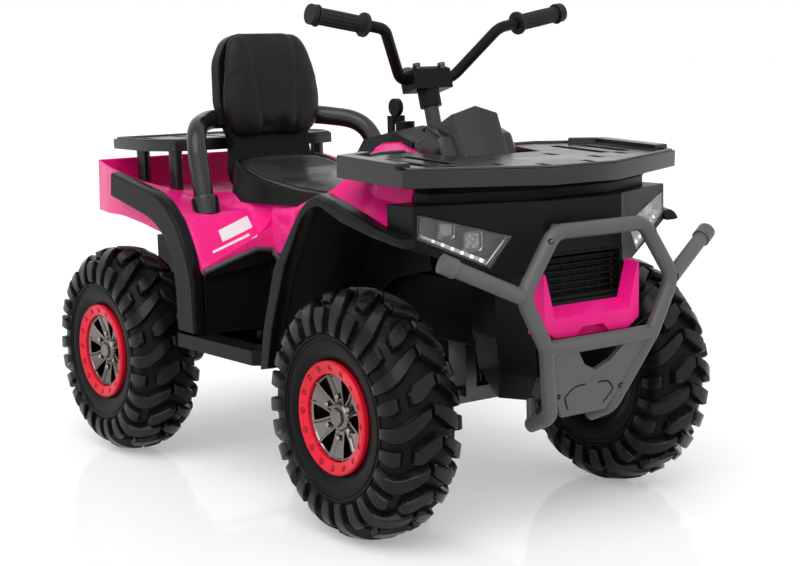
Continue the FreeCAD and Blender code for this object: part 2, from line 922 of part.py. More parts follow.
def make_beam():
    parts = [
        box("beam_bar", mm.beam_size, beam_end * 2, mm.beam_size,
            mm.front_axle_x - mm.beam_size / 2, -beam_end, axle_z - mm.beam_size / 2),
    ]
    for side, sign in (("right", -1), ("left", 1)):
        reach = mm.yoke_length
        low_y = mm.kingpin_offset * sign - reach / 2
        wall_y = beam_end * sign - mm.yoke_plate / 2
        low_z = axle_z - yoke_gap - mm.yoke_plate
        parts.append(box(f"yoke_wall_{side}", mm.beam_size, mm.yoke_plate, (yoke_gap + mm.yoke_plate) * 2,
                         mm.front_axle_x - mm.beam_size / 2, wall_y, low_z))
        for level, base in (("top", axle_z + yoke_gap), ("low", low_z)):
            parts.append(box(f"yoke_{level}_{side}", mm.beam_size, reach, mm.yoke_plate,
                             mm.front_axle_x - mm.beam_size / 2, low_y, base))
        saddle_y = mm.saddle_offset * sign - mm.saddle_width / 2
        parts.append(box(f"saddle_{side}", mm.saddle_length, mm.saddle_width,
                         mm.tub_front_floor_z - axle_z, mm.front_axle_x - mm.saddle_length / 2,
                         saddle_y, axle_z))
    whole = fused("beam_whole", parts)
    bores = []
    for side, sign in (("right", -1), ("left", 1)):
        bores.append(cylinder(f"kingpin_bore_{side}", mm.kingpin_radius + mm.running_fit,
                              mm.knuckle_height * 2, mm.front_axle_x, mm.kingpin_offset * sign,
                              axle_z - mm.knuckle_height))
    return cut("front_axle_beam", whole, fused("kingpin_bores", bores))


piece(make_beam(), "front_axle_beam")


# Steering knuckles, each with its kingpin, stub axle, arm and link pin

stub_end = wheel_y + hub_face - mm.axle_end_gap
arm_z = axle_z - mm.knuckle_height / 2
link_x = mm.front_axle_x - mm.steer_arm_length
link_z = arm_z - mm.seat_gap - mm.tie_rod_plate


def make_knuckle(side, sign):
    kingpin_y = mm.kingpin_offset * sign
    pin_reach = yoke_gap + mm.yoke_plate + mm.kingpin_reach
    parts = [
        cylinder(f"sleeve_{side}", mm.knuckle_radius, mm.knuckle_height,
                 mm.front_axle_x, kingpin_y, axle_z - mm.knuckle_height / 2),
        cylinder(f"kingpin_{side}", mm.kingpin_radius, pin_reach * 2,
                 mm.front_axle_x, kingpin_y, axle_z - pin_reach),
        cylinder(f"stub_{side}", mm.axle_radius, stub_end - mm.kingpin_offset,
                 mm.front_axle_x, kingpin_y, axle_z, Y_AXIS * sign),
        cylinder(f"stub_collar_{side}", mm.stub_collar_radius,
                 wheel_y - mm.hub_reach - mm.seat_gap - mm.kingpin_offset,
                 mm.front_axle_x, kingpin_y, axle_z, Y_AXIS * sign),
        box(f"arm_{side}", mm.steer_arm_length, mm.steer_arm_width, mm.steer_arm_plate,
            link_x, kingpin_y - mm.steer_arm_width / 2, arm_z),
        cylinder(f"arm_eye_{side}", mm.steer_arm_width / 2, mm.steer_arm_plate, link_x, kingpin_y, arm_z),
        cylinder(f"link_pin_{side}", mm.link_pin_radius, mm.tie_rod_plate + mm.seat_gap + mm.kingpin_reach,
                 link_x, kingpin_y, link_z - mm.kingpin_reach),
    ]
    return fused(f"knuckle_{side}", parts)


for side, sign in (("right", -1), ("left", 1)):
    piece(make_knuckle(side, sign), f"knuckle_{side}")


# Tie rod with flat eyes and a plate for the column's crank pin

crank_pin_x = mm.column_foot_x - mm.steer_arm_length


def make_tie_rod():
    middle_z = link_z + mm.tie_rod_plate / 2
    span = mm.kingpin_offset - mm.tie_rod_eye_radius + mm.tie_rod_eye_lap
    parts = [
        cylinder("rod_bar", mm.tie_rod_radius, span * 2, link_x, -span, middle_z, Y_AXIS),
        box("crank_plate", link_x - crank_pin_x, mm.crank_width * 2, mm.tie_rod_plate,
            crank_pin_x, -mm.crank_width, link_z),
        cylinder("crank_plate_end", mm.crank_width, mm.tie_rod_plate, crank_pin_x, 0, link_z),
    ]
    bores = [cylinder("crank_hole", mm.link_pin_radius + mm.crank_play, mm.tie_rod_plate * 3,
                      crank_pin_x, 0, link_z - mm.tie_rod_plate)]
    for side, sign in (("right", -1), ("left", 1)):
        eye_y = mm.kingpin_offset * sign
        parts.append(cylinder(f"rod_eye_{side}", mm.tie_rod_eye_radius, mm.tie_rod_plate,
                              link_x, eye_y, link_z))
        bores.append(cylinder(f"rod_bore_{side}", mm.link_pin_radius + mm.running_fit,
                              mm.tie_rod_plate * 3, link_x, eye_y, link_z - mm.tie_rod_plate))
    return cut("tie_rod", fused("rod_whole", parts), fused("rod_bores", bores))


piece(make_tie_rod(), "tie_rod")


# Raked steering column with its crank, and the frame that the handlebar shares

rake = FreeCAD.Vector(-number(mm.column_rake_run), 0, number(mm.column_rake_rise)).normalize()
column_spin = FreeCAD.Rotation(Z_AXIS, rake)
crank_z = link_z + mm.tie_rod_plate / 2 + mm.tie_rod_radius + mm.crank_lift
column_foot = point(mm.column_foot_x, 0, crank_z)
column_top = column_foot + rake * number(mm.column_length)


def on_column(x, y, z):
    """A point given across and along the column, from its top."""
    return column_top + column_spin.multVec(point(x, y, z))


def column_at(z):
    """The point of the column's axis at a height."""
    return column_foot + rake * ((number(z) - column_foot.z) / rake.z)


def column_block(length, width, base, height):
    block = Part.makeBox(number(length), number(width), number(height), point(-length / 2, -width / 2, base))
    block.Placement = FreeCAD.Placement(column_top, column_spin).multiply(block.Placement)
    return block


def make_column():
    half = number(mm.crank_width / 2)
    plate = number(mm.steer_arm_plate)
    low = column_at(crank_z - mm.column_radius)
    size = mm.column_length
    floor_box = Part.makeBox(number(size), number(size), number(size),
                             point(mm.column_foot_x - size / 2, -size / 2, crank_z - size))
    shaft = rod(low, column_top, mm.column_radius).cut(floor_box)
    arm = Part.makeBox(number(mm.steer_arm_length), half * 2, plate, point(crank_pin_x, -half, crank_z))
    eyes = [Part.makeCylinder(half, plate, point(x, 0, crank_z)) for x in (crank_pin_x, mm.column_foot_x)]
    pin = rod(point(crank_pin_x, 0, crank_z + plate), point(crank_pin_x, 0, link_z - mm.kingpin_reach),
              mm.link_pin_radius)
    return shaft.multiFuse([arm, pin] + eyes)


piece(formed("steering_column", make_column()), "steering_column")

bush_low = column_at(mm.tub_front_floor_z + mm.bush_inset)
bush_high = column_at(mm.tub_top_z - mm.bush_inset)
bush_bore = rod(bush_low, bush_high, mm.column_radius + mm.running_fit)
bush_form = rod(bush_low, bush_high, mm.bush_radius).cut(bush_bore)
piece(formed("column_bush", bush_form), "column_bush")


# Handlebar, its clamp and its grips, in the frame of the column

bar_spots = []
for half, forward, rise in (
    (mm.bar_end_half, mm.bar_end_forward, mm.bar_end_rise),
    (mm.bar_riser_half, mm.bar_riser_forward, mm.bar_riser_rise),
    (mm.bar_flat_half, 0, 0),
):
    bar_spots.append(on_column(forward, -half, mm.clamp_base_height + rise))
bar_spots += [FreeCAD.Vector(spot.x, -spot.y, spot.z) for spot in reversed(bar_spots)]
piece(formed("handlebar", tube(bar_spots, mm.bar_bend_radius, mm.bar_radius)), "handlebar")

clamp_bore = rod(on_column(0, -mm.clamp_width, mm.clamp_base_height),
                 on_column(0, mm.clamp_width, mm.clamp_base_height), mm.bar_radius + mm.running_fit)
bolt_spots = [(along, aside) for along in (-mm.clamp_bolt_gap, mm.clamp_bolt_gap)
              for aside in (-mm.clamp_bolt_spread, mm.clamp_bolt_spread)]
clamp_top = mm.clamp_base_height + mm.clamp_cap_height
bolt_foot = mm.clamp_base_height - mm.clamp_bolt_depth


def clamp_bolts(radius):
    return [rod(on_column(along, aside, bolt_foot), on_column(along, aside, clamp_top), radius)
            for along, aside in bolt_spots]


bolt_holes = clamp_bolts(mm.clamp_bolt_radius + mm.running_fit)
clamp_base = column_block(mm.clamp_length, mm.clamp_width, 0, mm.clamp_base_height)
clamp_collar = rod(on_column(0, 0, -mm.collar_height), on_column(0, 0, mm.clamp_base_height / 2),
                   mm.collar_radius)
column_socket = rod(on_column(0, 0, -mm.collar_height * 2), column_top, mm.column_radius)
clamp_base = clamp_base.fuse(clamp_collar).cut([clamp_bore, column_socket] + bolt_holes)
piece(formed("clamp_base", clamp_base), "clamp_base")
clamp_cap = column_block(mm.clamp_length, mm.clamp_width, mm.clamp_base_height, mm.clamp_cap_height)
crown_level = number(clamp_top - mm.clamp_chamfer)
crown_edges = [edge for edge in clamp_cap.Edges
               if min((spot.Point - column_top).dot(rake) for spot in edge.Vertexes) > crown_level]
clamp_cap = clamp_cap.makeChamfer(number(mm.clamp_chamfer), crown_edges)
piece(formed("clamp_cap", clamp_cap.cut([clamp_bore] + bolt_holes)), "clamp_cap")
bolt_forms = []
for shank, (along, aside) in zip(clamp_bolts(mm.clamp_bolt_radius), bolt_spots):
    head = rod(on_column(along, aside, clamp_top), on_column(along, aside, clamp_top + mm.clamp_bolt_head),
               mm.clamp_bolt_head_radius)
    bolt_forms.append(shank.fuse(head))
piece(formed("clamp_bolts", Part.makeCompound(bolt_forms)), "clamp_bolts")


def make_grip(end, shoulder):
    out = (end - shoulder).normalize()
    tip = end + out * number(mm.running_fit)
    inner = tip - out * number(mm.grip_length)
    face = tip + out * number(mm.grip_cap_wall)
    parts = [
        rod(inner, face, mm.grip_radius),
        rod(inner, inner + out * number(mm.grip_flange_width), mm.grip_flange_radius),
        rod(face - out * number(mm.grip_end_width), face, mm.grip_end_radius),
    ]
    bore = rod(inner - out * number(mm.overrun), tip, mm.bar_radius + mm.running_fit)
    return parts[0].multiFuse(parts[1:]).cut(bore)


piece(formed("grip_right", make_grip(bar_spots[0], bar_spots[1])), "grip_right")
piece(formed("grip_left", make_grip(bar_spots[-1], bar_spots[-2])), "grip_left")


# Chassis tub: a central spine with a bulkhead behind each footwell

def make_tub():
    body = new_body("tub")
    outline = sketch(body, "XZ_Plane")
    draw_polygon(outline, [
        (mm.tub_front_x, mm.tub_top_z),
        (mm.tub_front_x, mm.tub_front_floor_z),
        (mm.tub_step_front_x, mm.tub_front_floor_z),
        (mm.tub_step_front_x - mm.tub_step_run, mm.tub_floor_z),
        (mm.tub_step_rear_x, mm.tub_floor_z),
        (mm.tub_step_rear_x - mm.tub_step_run, mm.tub_rear_floor_z),
        (mm.tub_rear_x, mm.tub_rear_floor_z),
        (mm.tub_rear_x, mm.tub_top_z),
    ])
    pad(body, outline, mm.tub_half_width * 2, midplane=True)
    doc.recompute()
    waist = sketch(body, "XY_Plane")
    far_x = mm.tub_front_x + mm.overrun
    far_y = mm.tub_half_width + mm.overrun
    for sign in (1, -1):
        draw_polygon(waist, [
            (mm.tub_shoulder_x, far_y * sign), (mm.tub_shoulder_x, mm.tub_front_half_width * sign),
            (far_x, mm.tub_front_half_width * sign), (far_x, far_y * sign),
        ])
    pocket(body, waist, mm.tub_top_z + mm.overrun, reverse=True)
    doc.recompute()
    bay_half = mm.tub_front_half_width - mm.bay_wall
    for front_x, rear_x, floor_z in (
        (mm.battery_bay_front_x, mm.battery_bay_rear_x, mm.tub_floor_z),
        (mm.rear_bay_front_x, mm.tub_rear_x + mm.bay_wall, mm.tub_rear_floor_z),
        (mm.front_bay_front_x, mm.front_bay_rear_x, mm.tub_floor_z),
    ):
        bay = sketch(body, "XY_Plane", floor_z + mm.bay_wall)
        draw_polygon(bay, both_sides([(front_x, bay_half), (rear_x, bay_half)]))
        pocket(body, bay, mm.tub_top_z, reverse=True)
        doc.recompute()
    wing = sketch(body, "YZ_Plane", mm.bulkhead_front_x - mm.bulkhead_depth)
    base_z = mm.footboard_top_z - mm.footboard_height
    draw_polygon(wing, [
        (mm.tub_half_width - mm.overrun, base_z), (mm.bulkhead_outer_y, base_z),
        (mm.bulkhead_outer_y, mm.bulkhead_outer_z), (mm.tub_half_width, mm.tub_top_z),
        (mm.tub_half_width - mm.overrun, mm.tub_top_z),
    ])
    bulkhead = pad(body, wing, mm.bulkhead_depth)
    doc.recompute()
    twin(body, bulkhead)
    return body


tub = make_tub()
column_hole = formed("column_hole", rod(column_at(mm.tub_floor_z), column_at(mm.tub_top_z + mm.tub_floor_z),
                                        mm.bush_radius + mm.running_fit))
piece(cut("chassis_tub", tub, column_hole), "chassis_tub")

bay_middle_x = (mm.battery_bay_front_x + mm.battery_bay_rear_x) / 2
piece(box("battery", mm.battery_length, mm.battery_width, mm.battery_height,
          bay_middle_x - mm.battery_length / 2, -mm.battery_width / 2, mm.tub_floor_z + mm.bay_wall),
      "battery")


# Footboards, with the accelerator on the right one

def make_footboard():
    body = new_body("footboard")
    outline = sketch(body, "XY_Plane", mm.footboard_top_z - mm.footboard_height)
    rear_x = mm.bulkhead_front_x - mm.bulkhead_depth
    draw_polygon(outline, [
        (mm.bulkhead_front_x, -mm.tub_half_width),
        (mm.footboard_front_x, -mm.tub_half_width),
        (mm.footboard_front_x, mm.footboard_corner - mm.footboard_outer_y),
        (mm.footboard_front_x - mm.footboard_corner, -mm.footboard_outer_y),
        (rear_x, -mm.footboard_outer_y),
        (rear_x, -mm.bulkhead_outer_y),
        (mm.bulkhead_front_x, -mm.bulkhead_outer_y),
    ])
    pad(body, outline, mm.footboard_height)
    doc.recompute()
    tread = sketch(body, "XY_Plane", mm.footboard_top_z)
    near_y = -mm.tub_half_width - mm.footboard_tread_margin
    far_y = mm.footboard_tread_margin - mm.bulkhead_outer_y
    low_x = mm.bulkhead_front_x + mm.footboard_tread_margin
    groove_x = low_x + mm.footboard_rib_pitch - mm.footboard_rib_width
    draw_polygon(tread, [(low_x, near_y), (groove_x, near_y), (groove_x, far_y), (low_x, far_y)])
    groove = pocket(body, tread, mm.footboard_tread_depth)
    doc.recompute()
    row(body, groove, "X_Axis", mm.footboard_rib_pitch * (mm.footboard_rib_count - 1), mm.footboard_rib_count)
    return body


footboard = make_footboard()
pedal_pin_z = mm.footboard_top_z + mm.pedal_pin_height
ear_inner = mm.pedal_width / 2 + mm.seat_gap
ears = []
for side, low_y in (("outer", mm.pedal_y - ear_inner - mm.pedal_ear), ("inner", mm.pedal_y + ear_inner)):
    ears.append(box(f"pedal_ear_{side}", mm.pedal_ear_radius * 2, mm.pedal_ear,
                    mm.pedal_pin_height + mm.footboard_tread_depth, mm.pedal_x - mm.pedal_ear_radius, low_y,
                    mm.footboard_top_z - mm.footboard_tread_depth))
    ears.append(cylinder(f"pedal_boss_{side}", mm.pedal_ear_radius, mm.pedal_ear, mm.pedal_x, low_y,
                         pedal_pin_z, Y_AXIS))
pin_hole = cylinder("pedal_pin_hole", mm.pedal_pin_radius + mm.running_fit, mm.pedal_width * 2,
                    mm.pedal_x, mm.pedal_y - mm.pedal_width, pedal_pin_z, Y_AXIS)
piece(cut("footboard_right", fused("footboard_eared", [footboard] + ears), pin_hole), "footboard_right")
piece(mirrored("footboard_left", footboard), "footboard_left")


def make_pedal():
    pin = cylinder("pedal_pin", mm.pedal_pin_radius, mm.pedal_width + (mm.pedal_ear + mm.seat_gap) * 2,
                   mm.pedal_x, mm.pedal_y - ear_inner - mm.pedal_ear, pedal_pin_z, Y_AXIS)
    plate = box("pedal_plate", mm.pedal_length, mm.pedal_width, mm.pedal_plate,
                mm.pedal_x, mm.pedal_y - mm.pedal_width / 2, pedal_pin_z - mm.pedal_plate / 2)
    plate.Placement.Rotation = FreeCAD.Rotation(Y_AXIS, -number(mm.pedal_tilt))
    return fused("foot_pedal", [pin, plate])


piece(make_pedal(), "foot_pedal")


# Rear axle, its brackets, gearboxes and motors

axle_half = wheel_y + hub_face - mm.axle_end_gap
piece(cylinder("rear_axle", mm.axle_radius, axle_half * 2, rear_axle_x, -axle_half, axle_z, Y_AXIS),
      "rear_axle")
bracket_inner = mm.tub_half_width - mm.bracket_width


def make_brackets():
    parts = []
    for side, low_y in (("right", -mm.tub_half_width), ("left", bracket_inner)):
        parts.append(box(f"axle_bracket_{side}", mm.bracket_length, mm.bracket_width,
                         mm.tub_rear_floor_z - axle_z + mm.bracket_drop,
                         rear_axle_x - mm.bracket_length / 2, low_y, axle_z - mm.bracket_drop))
    bore = cylinder("bracket_bore", axle_bore, axle_half * 2, rear_axle_x, -axle_half, axle_z, Y_AXIS)
    return cut("rear_axle_brackets", fused("axle_brackets", parts), bore)


piece(make_brackets(), "rear_axle_brackets")


def make_gearbox(side, sign):
    way = Y_AXIS * sign
    inner = mm.tub_half_width * sign
    depth = mm.gearbox_outer_y - mm.tub_half_width
    motor_x = rear_axle_x + mm.motor_offset_x
    motor_z = axle_z + mm.motor_offset_z
    parts = [
        cylinder(f"gear_case_{side}", mm.gearbox_radius, depth, rear_axle_x, inner, axle_z, way),
        cylinder(f"motor_boss_{side}", mm.motor_radius + mm.panel_wall, depth, motor_x, inner, motor_z, way),
        cylinder(f"drive_sleeve_{side}", mm.gearbox_sleeve_radius,
                 wheel_y - mm.hub_reach - mm.seat_gap - mm.tub_half_width, rear_axle_x, inner, axle_z, way),
    ]
    bore = cylinder(f"gear_bore_{side}", axle_bore, wheel_y, rear_axle_x, inner, axle_z, way)
    return cut(f"gearbox_{side}", fused(f"gear_whole_{side}", parts), bore)


motors = []
for side, sign in (("right", -1), ("left", 1)):
    piece(make_gearbox(side, sign), f"gearbox_{side}")
    motors.append(cylinder(f"motor_{side}", mm.motor_radius, mm.motor_length, rear_axle_x + mm.motor_offset_x,
                           mm.tub_half_width * sign, axle_z + mm.motor_offset_z, Y_AXIS * -sign))
drive_motors = doc.addObject("Part::Compound", "drive_motors")
drive_motors.Links = motors
piece(drive_motors, "drive_motors")


# Rear bodywork: a moulded shell from under the seat to the tail

# each row: share of the length, then the half section from ridge to skirt
DECK_SHARE = 0.694
REAR_BODY_SHARES = (
    (0.00, ((0, DECK_SHARE), (0.39, DECK_SHARE), (0.44, 0.56), (0.461, 0.40), (0.461, 0.153))),
    (0.13, ((0, DECK_SHARE), (0.40, DECK_SHARE), (0.46, 0.56), (0.461, 0.40), (0.461, 0.153))),
    (0.145, ((0, DECK_SHARE), (0.40, DECK_SHARE), (0.48, 0.24), (1.0, 0.06), (1.0, 0.0))),
    (0.25, ((0, DECK_SHARE), (0.42, DECK_SHARE), (0.50, 0.56), (1.0, 0.54), (1.0, 0.30))),
    (0.35, ((0, DECK_SHARE), (0.44, DECK_SHARE), (0.53, 0.58), (1.0, 0.60), (1.0, 0.32))),
    (0.55, ((0, DECK_SHARE), (0.49, DECK_SHARE), (0.68, 0.68), (1.0, 0.76), (1.0, 0.42))),
    (0.69, ((0, DECK_SHARE), (0.53, DECK_SHARE), (0.74, 0.76), (1.0, 0.86), (1.0, 0.47))),
    (0.85, ((0, DECK_SHARE), (0.56, DECK_SHARE), (0.76, 0.83), (0.95, 0.95), (0.95, 0.46))),
    (1.00, ((0, 0.66), (0.58, 0.68), (0.74, 0.89), (0.86, 1.0), (0.87, 0.46))),
)
rear_body_frame = (mm.rear_body_front_x, -mm.rear_body_length, mm.rear_body_half_width,
                   mm.rear_body_base_z, (mm.deck_z - mm.rear_body_base_z) / DECK_SHARE)
rear_body_solid = loft_through(body_sections(REAR_BODY_SHARES, rear_body_frame, 0.0))
rear_body_shell = moulded_shell(REAR_BODY_SHARES, rear_body_frame, mm.panel_wall, True, False)
rear_body_form = rear_body_shell.cut(tub.Shape)
piece(formed("rear_body", rear_body_form), "rear_body")


# Black trim along the edge of each rear fender, down to the footboard

TRIM_SHARES = (
    (-1.0, 1.0), (-0.26, 0.86), (0.0, 0.44), (0.0, 0.0), (-0.196, 0.0), (-0.20, 0.42),
    (-0.36, 0.70), (-1.02, 0.84),
)


def make_trim():
    body = new_body("trim")
    corners = spread(TRIM_SHARES, mm.trim_front_x, mm.trim_length, mm.footboard_top_z, mm.trim_height)
    outline = sketch(body, "XZ_Plane", mm.rear_body_half_width)
    draw_polygon(outline, corners)
    pad(body, outline, mm.trim_width)
    doc.recompute()
    # the band is open inward, below and behind
    hollow = sketch(body, "XZ_Plane", mm.rear_body_half_width)
    draw_polygon(hollow, [(x - mm.trim_wall, z - mm.trim_wall) for x, z in corners])
    pocket(body, hollow, mm.trim_width - mm.trim_wall, reverse=True)
    return body


trim = make_trim()
piece(trim, "rear_trim_right")
piece(mirrored("rear_trim_left", trim), "rear_trim_left")


# Front fenders: an arch with a liner that reaches the chassis

ARCH_OUTER_SHARES = (
    (0.0, 0.0), (0.032, 0.23), (0.126, 0.585), (0.32, 0.935), (0.42, 1.0), (0.63, 0.863),
    (0.845, 0.79), (1.0, 0.682),
)
ARCH_INNER_SHARES = (
    (0.99, 0.575), (0.853, 0.675), (0.632, 0.748), (0.442, 0.885), (0.39, 0.87), (0.205, 0.585),
    (0.10, 0.23), (0.058, 0.0),
)
fender_inner_y = mm.fender_outer_y - mm.fender_width
fender_base_z = mm.footboard_top_z - mm.footboard_height


def offset_corners(corners, distance):
    """Move an open line of corners to its left by a distance."""
    spots = [point(x, y, 0) for x, y in corners]
    ways = [(end - start).normalize() for start, end in zip(spots, spots[1:])]
    moved = []
    for index, (x, y) in enumerate(corners):
        before = ways[max(index - 1, 0)]
        after = ways[min(index, len(ways) - 1)]
        normal = FreeCAD.Vector(-before.y - after.y, before.x + after.x, 0).normalize()
        reach = 1.0 / (normal.x * -after.y + normal.y * after.x)
        moved.append((x + distance * (normal.x * reach), y + distance * (normal.y * reach)))
    return moved


def make_fender():
    body = new_body("fender")
    frame = (mm.footboard_front_x, mm.fender_length, fender_base_z, mm.fender_height)
    outer = spread(ARCH_OUTER_SHARES, *frame)
    inner = spread(ARCH_INNER_SHARES, *frame)
    band = sketch(body, "XZ_Plane", fender_inner_y)
    draw_polygon(band, outer + inner)
    pad(body, band, mm.fender_width)
    doc.recompute()
    liner = sketch(body, "XZ_Plane", mm.tub_front_half_width)
    lining = offset_corners(inner, -mm.liner_wall)
    draw_polygon(liner, inner + list(reversed(lining)))
    pad(body, liner, mm.fender_outer_y - mm.tub_front_half_width - mm.fender_width / 2)
    return body


fender = make_fender()
doc.recompute()
piece(fender, "front_fender_right")
fender_left = piece(mirrored("front_fender_left", fender), "front_fender_left")
doc.recompute()
fender_forms = [fender.Shape, fender_left.Shape]


# Front rack, on its slight rise to the rear

RACK_SHARES = ((0.0, 0.24), (-0.28, 1.0), (-0.82, 1.0), (-1.0, 0.58), (-1.0, 0.39), (-0.63, 0.29))
RACK_RAIL_SHARES = ((-0.34, 0.90), (-0.34, 1.0), (-0.82, 1.0), (-0.90, 0.78), (-0.86, 0.74), (-0.80, 0.90))
RACK_SLOT_SHARES = (
    ((-0.40, 0.70), (-0.40, 0.78), (-0.76, 0.78), (-0.76, 0.70)),
    ((-0.40, 0.52), (-0.40, 0.60), (-0.80, 0.60), (-0.80, 0.52)),
)
RACK_OVAL_SHARES = ((-0.10, 0.14), (-0.24, 0.34), (-0.30, 0.60), (-0.44, 0.20))
OVAL_LENGTH_SHARE = 0.09


def rack_corners(shares, length, half_width):
    return [(length * along, half_width * aside) for along, aside in shares]


def make_front_rack():
    body = new_body("rack")
    length = mm.front_rack_length
    half = mm.front_rack_half_width
    outline = sketch(body, "XY_Plane", -mm.front_rack_thickness)
    draw_polygon(outline, both_sides(rack_corners(RACK_SHARES, length, half)))
    pad(body, outline, mm.front_rack_thickness)
    doc.recompute()
    rail = sketch(body, "XY_Plane", -mm.overrun)
    draw_polygon(rail, rack_corners(RACK_RAIL_SHARES, length, half))
    rail_pad = pad(body, rail, mm.front_rack_pad_height + mm.overrun)
    doc.recompute()
    twin(body, rail_pad)
    doc.recompute()
    slots = sketch(body, "XY_Plane", mm.front_rack_pad_height)
    for shares in RACK_SLOT_SHARES:
        draw_polygon(slots, rack_corners(shares, length, half))
    for along, aside in RACK_OVAL_SHARES:
        low_x = length * along
        high_x = length * (along - OVAL_LENGTH_SHARE)
        near_y = half * aside
        far_y = near_y + mm.rack_slot_radius * 2
        draw_polygon(slots, [(low_x, near_y), (low_x, far_y), (high_x, far_y), (high_x, near_y)])
    opening = pocket(body, slots)
    doc.recompute()
    twin(body, opening)
    body.Placement.Rotation = FreeCAD.Rotation(Y_AXIS, number(mm.front_rack_pitch))
    place(body, mm.front_rack_front_x, 0, mm.front_rack_front_z)
    return body


front_rack = piece(make_front_rack(), "front_rack")
doc.recompute()
rack_space = Part.makeBox(number(mm.front_rack_length), number(mm.front_rack_half_width) * 2,
                          number(mm.cowl_height), point(-mm.front_rack_length, -mm.front_rack_half_width,
                                                        -mm.front_rack_thickness))
rack_space.Placement = front_rack.Placement.multiply(rack_space.Placement)


# Pink flanks beside the tank and the cowl under the front rack

TANK_DECK_SHARE = 0.56
FLANK_SHARES = (
    (0.00, ((0, TANK_DECK_SHARE), (0.80, TANK_DECK_SHARE), (0.95, 0.45), (0.982, 0.30), (0.982, 0.0))),
    (0.40, ((0, TANK_DECK_SHARE), (0.80, TANK_DECK_SHARE), (0.95, 0.42), (0.982, 0.28), (0.982, 0.0))),
    (0.66, ((0, 0.88), (0.78, 0.88), (0.94, 0.80), (0.982, 0.50), (0.982, 0.0))),
    (0.86, ((0, 1.06), (0.84, 1.06), (0.96, 1.0), (1.0, 0.60), (1.0, 0.0))),
    (1.00, ((0, 1.16), (0.86, 1.16), (0.97, 1.12), (1.0, 0.60), (1.0, 0.0))),
)
COWL_SHARES = (
    (0.00, ((0, 1.30), (0.42, 1.30), (0.48, 1.24), (0.52, 0.80), (0.94, 0.42), (0.94, 0.28))),
    (0.28, ((0, 1.10), (0.42, 1.10), (0.48, 1.04), (0.84, 0.84), (1.0, 0.60), (1.0, 0.40))),
    (0.62, ((0, 0.95), (0.42, 0.95), (0.82, 0.93), (0.86, 0.50), (1.0, 0.22), (1.0, 0.08))),
    (1.00, ((0, 0.90), (0.42, 0.90), (0.80, 0.88), (0.84, 0.40), (1.0, 0.10), (1.0, 0.0))),
)
flank_frame = (mm.rear_body_front_x, mm.cowl_rear_x - mm.rear_body_front_x, mm.flank_half_width,
               mm.tub_top_z, (mm.deck_z - mm.tub_top_z) / TANK_DECK_SHARE)
flank_solid = loft_through(body_sections(FLANK_SHARES, flank_frame, 0.0))
flank_form = moulded_shell(FLANK_SHARES, flank_frame, mm.panel_wall, True, True)
column_room = rod(column_at(mm.tub_top_z - mm.bush_radius), column_top, mm.column_hole_radius)
flank_form = flank_form.cut(fender_forms + [column_room])
piece(formed("tank_flanks", flank_form), "tank_flanks")
cowl_frame = (mm.cowl_rear_x, mm.cowl_length, fender_inner_y, mm.cowl_base_z, mm.cowl_height)
cowl_solid = loft_through(body_sections(COWL_SHARES, cowl_frame, 0.0))
cowl_form = moulded_shell(COWL_SHARES, cowl_frame, mm.panel_wall, True, True)
cowl_form = cowl_form.cut(fender_forms + [rack_space, column_room])
piece(formed("front_cowl", cowl_form), "front_cowl")


# Front fascia with its lamp openings

lamp_sweep = math.degrees(math.atan(number(mm.fascia_sweep_share)))
LAMP_SHARES = ((0.0, 0.55), (0.24, 0.0), (1.0, 0.58), (0.99, 1.0))
lamp_reach = (mm.lamp_outer_y - mm.lamp_inner_y) / math.cos(math.radians(lamp_sweep))
corner_x = mm.fascia_front_x - mm.fascia_corner_step


def fascia_x(aside):
    """Where the swept face lies at a distance from the middle plane."""
    return corner_x - (aside - mm.fascia_corner_half) * mm.fascia_sweep_share


def make_fascia():
    body = new_body("fascia")
    outline = sketch(body, "XY_Plane", mm.fascia_base_z)
    half = [
        (mm.fascia_front_x, mm.fascia_nose_half),
        (corner_x, mm.fascia_corner_half),
        (fascia_x(mm.fascia_half_width), mm.fascia_half_width),
        (mm.fascia_rear_x, mm.fascia_half_width),
    ]
    draw_polygon(outline, both_sides(half))
    pad(body, outline, mm.fascia_top_z - mm.fascia_base_z)
    doc.recompute()
    under = sketch(body, "YZ_Plane")
    far_y = mm.fascia_half_width + mm.overrun
    low_z = mm.fascia_base_z - mm.overrun
    draw_polygon(under, [(mm.fascia_waist_half, low_z), (far_y, low_z),
                         (far_y, mm.fascia_base_z + mm.fascia_outer_rise),
                         (mm.fascia_waist_half, mm.fascia_base_z)])
    chin = pocket(body, under, mm.fascia_front_x + mm.overrun, reverse=True)
    doc.recompute()
    twin(body, chin)
    doc.recompute()
    hollow = sketch(body, "XY_Plane", mm.fascia_top_z - mm.panel_wall)
    inner_half = mm.fascia_half_width - mm.panel_wall * 2
    deep = mm.lamp_depth + mm.panel_wall * 2
    draw_polygon(hollow, both_sides([
        (mm.fascia_front_x - mm.grille_depth - mm.panel_wall * 2, mm.grille_half_width / 2),
        (corner_x - deep, mm.grille_half_width),
        (fascia_x(inner_half) - deep, inner_half),
        (mm.fascia_rear_x - mm.overrun, inner_half),
    ]))
    pocket(body, hollow, mm.fascia_top_z - mm.fascia_base_z)
    return body


def lamp_block(side_sign, inset, back, front):
    """A slab of the lamp's outline, lying along the swept face."""
    spin = FreeCAD.Rotation(Z_AXIS, side_sign * lamp_sweep)
    base = point(fascia_x(mm.lamp_inner_y), mm.lamp_inner_y * side_sign, mm.lamp_base_z)
    spots = [point(back, lamp_reach * along * side_sign, mm.lamp_height * up) for along, up in LAMP_SHARES]
    face = Part.Face(polygon(spots))
    if inset:
        face = face.makeOffset2D(-number(inset))
    slab = face.extrude(point(number(front) - number(back), 0, 0))
    slab.Placement = FreeCAD.Placement(base, spin).multiply(slab.Placement)
    return slab


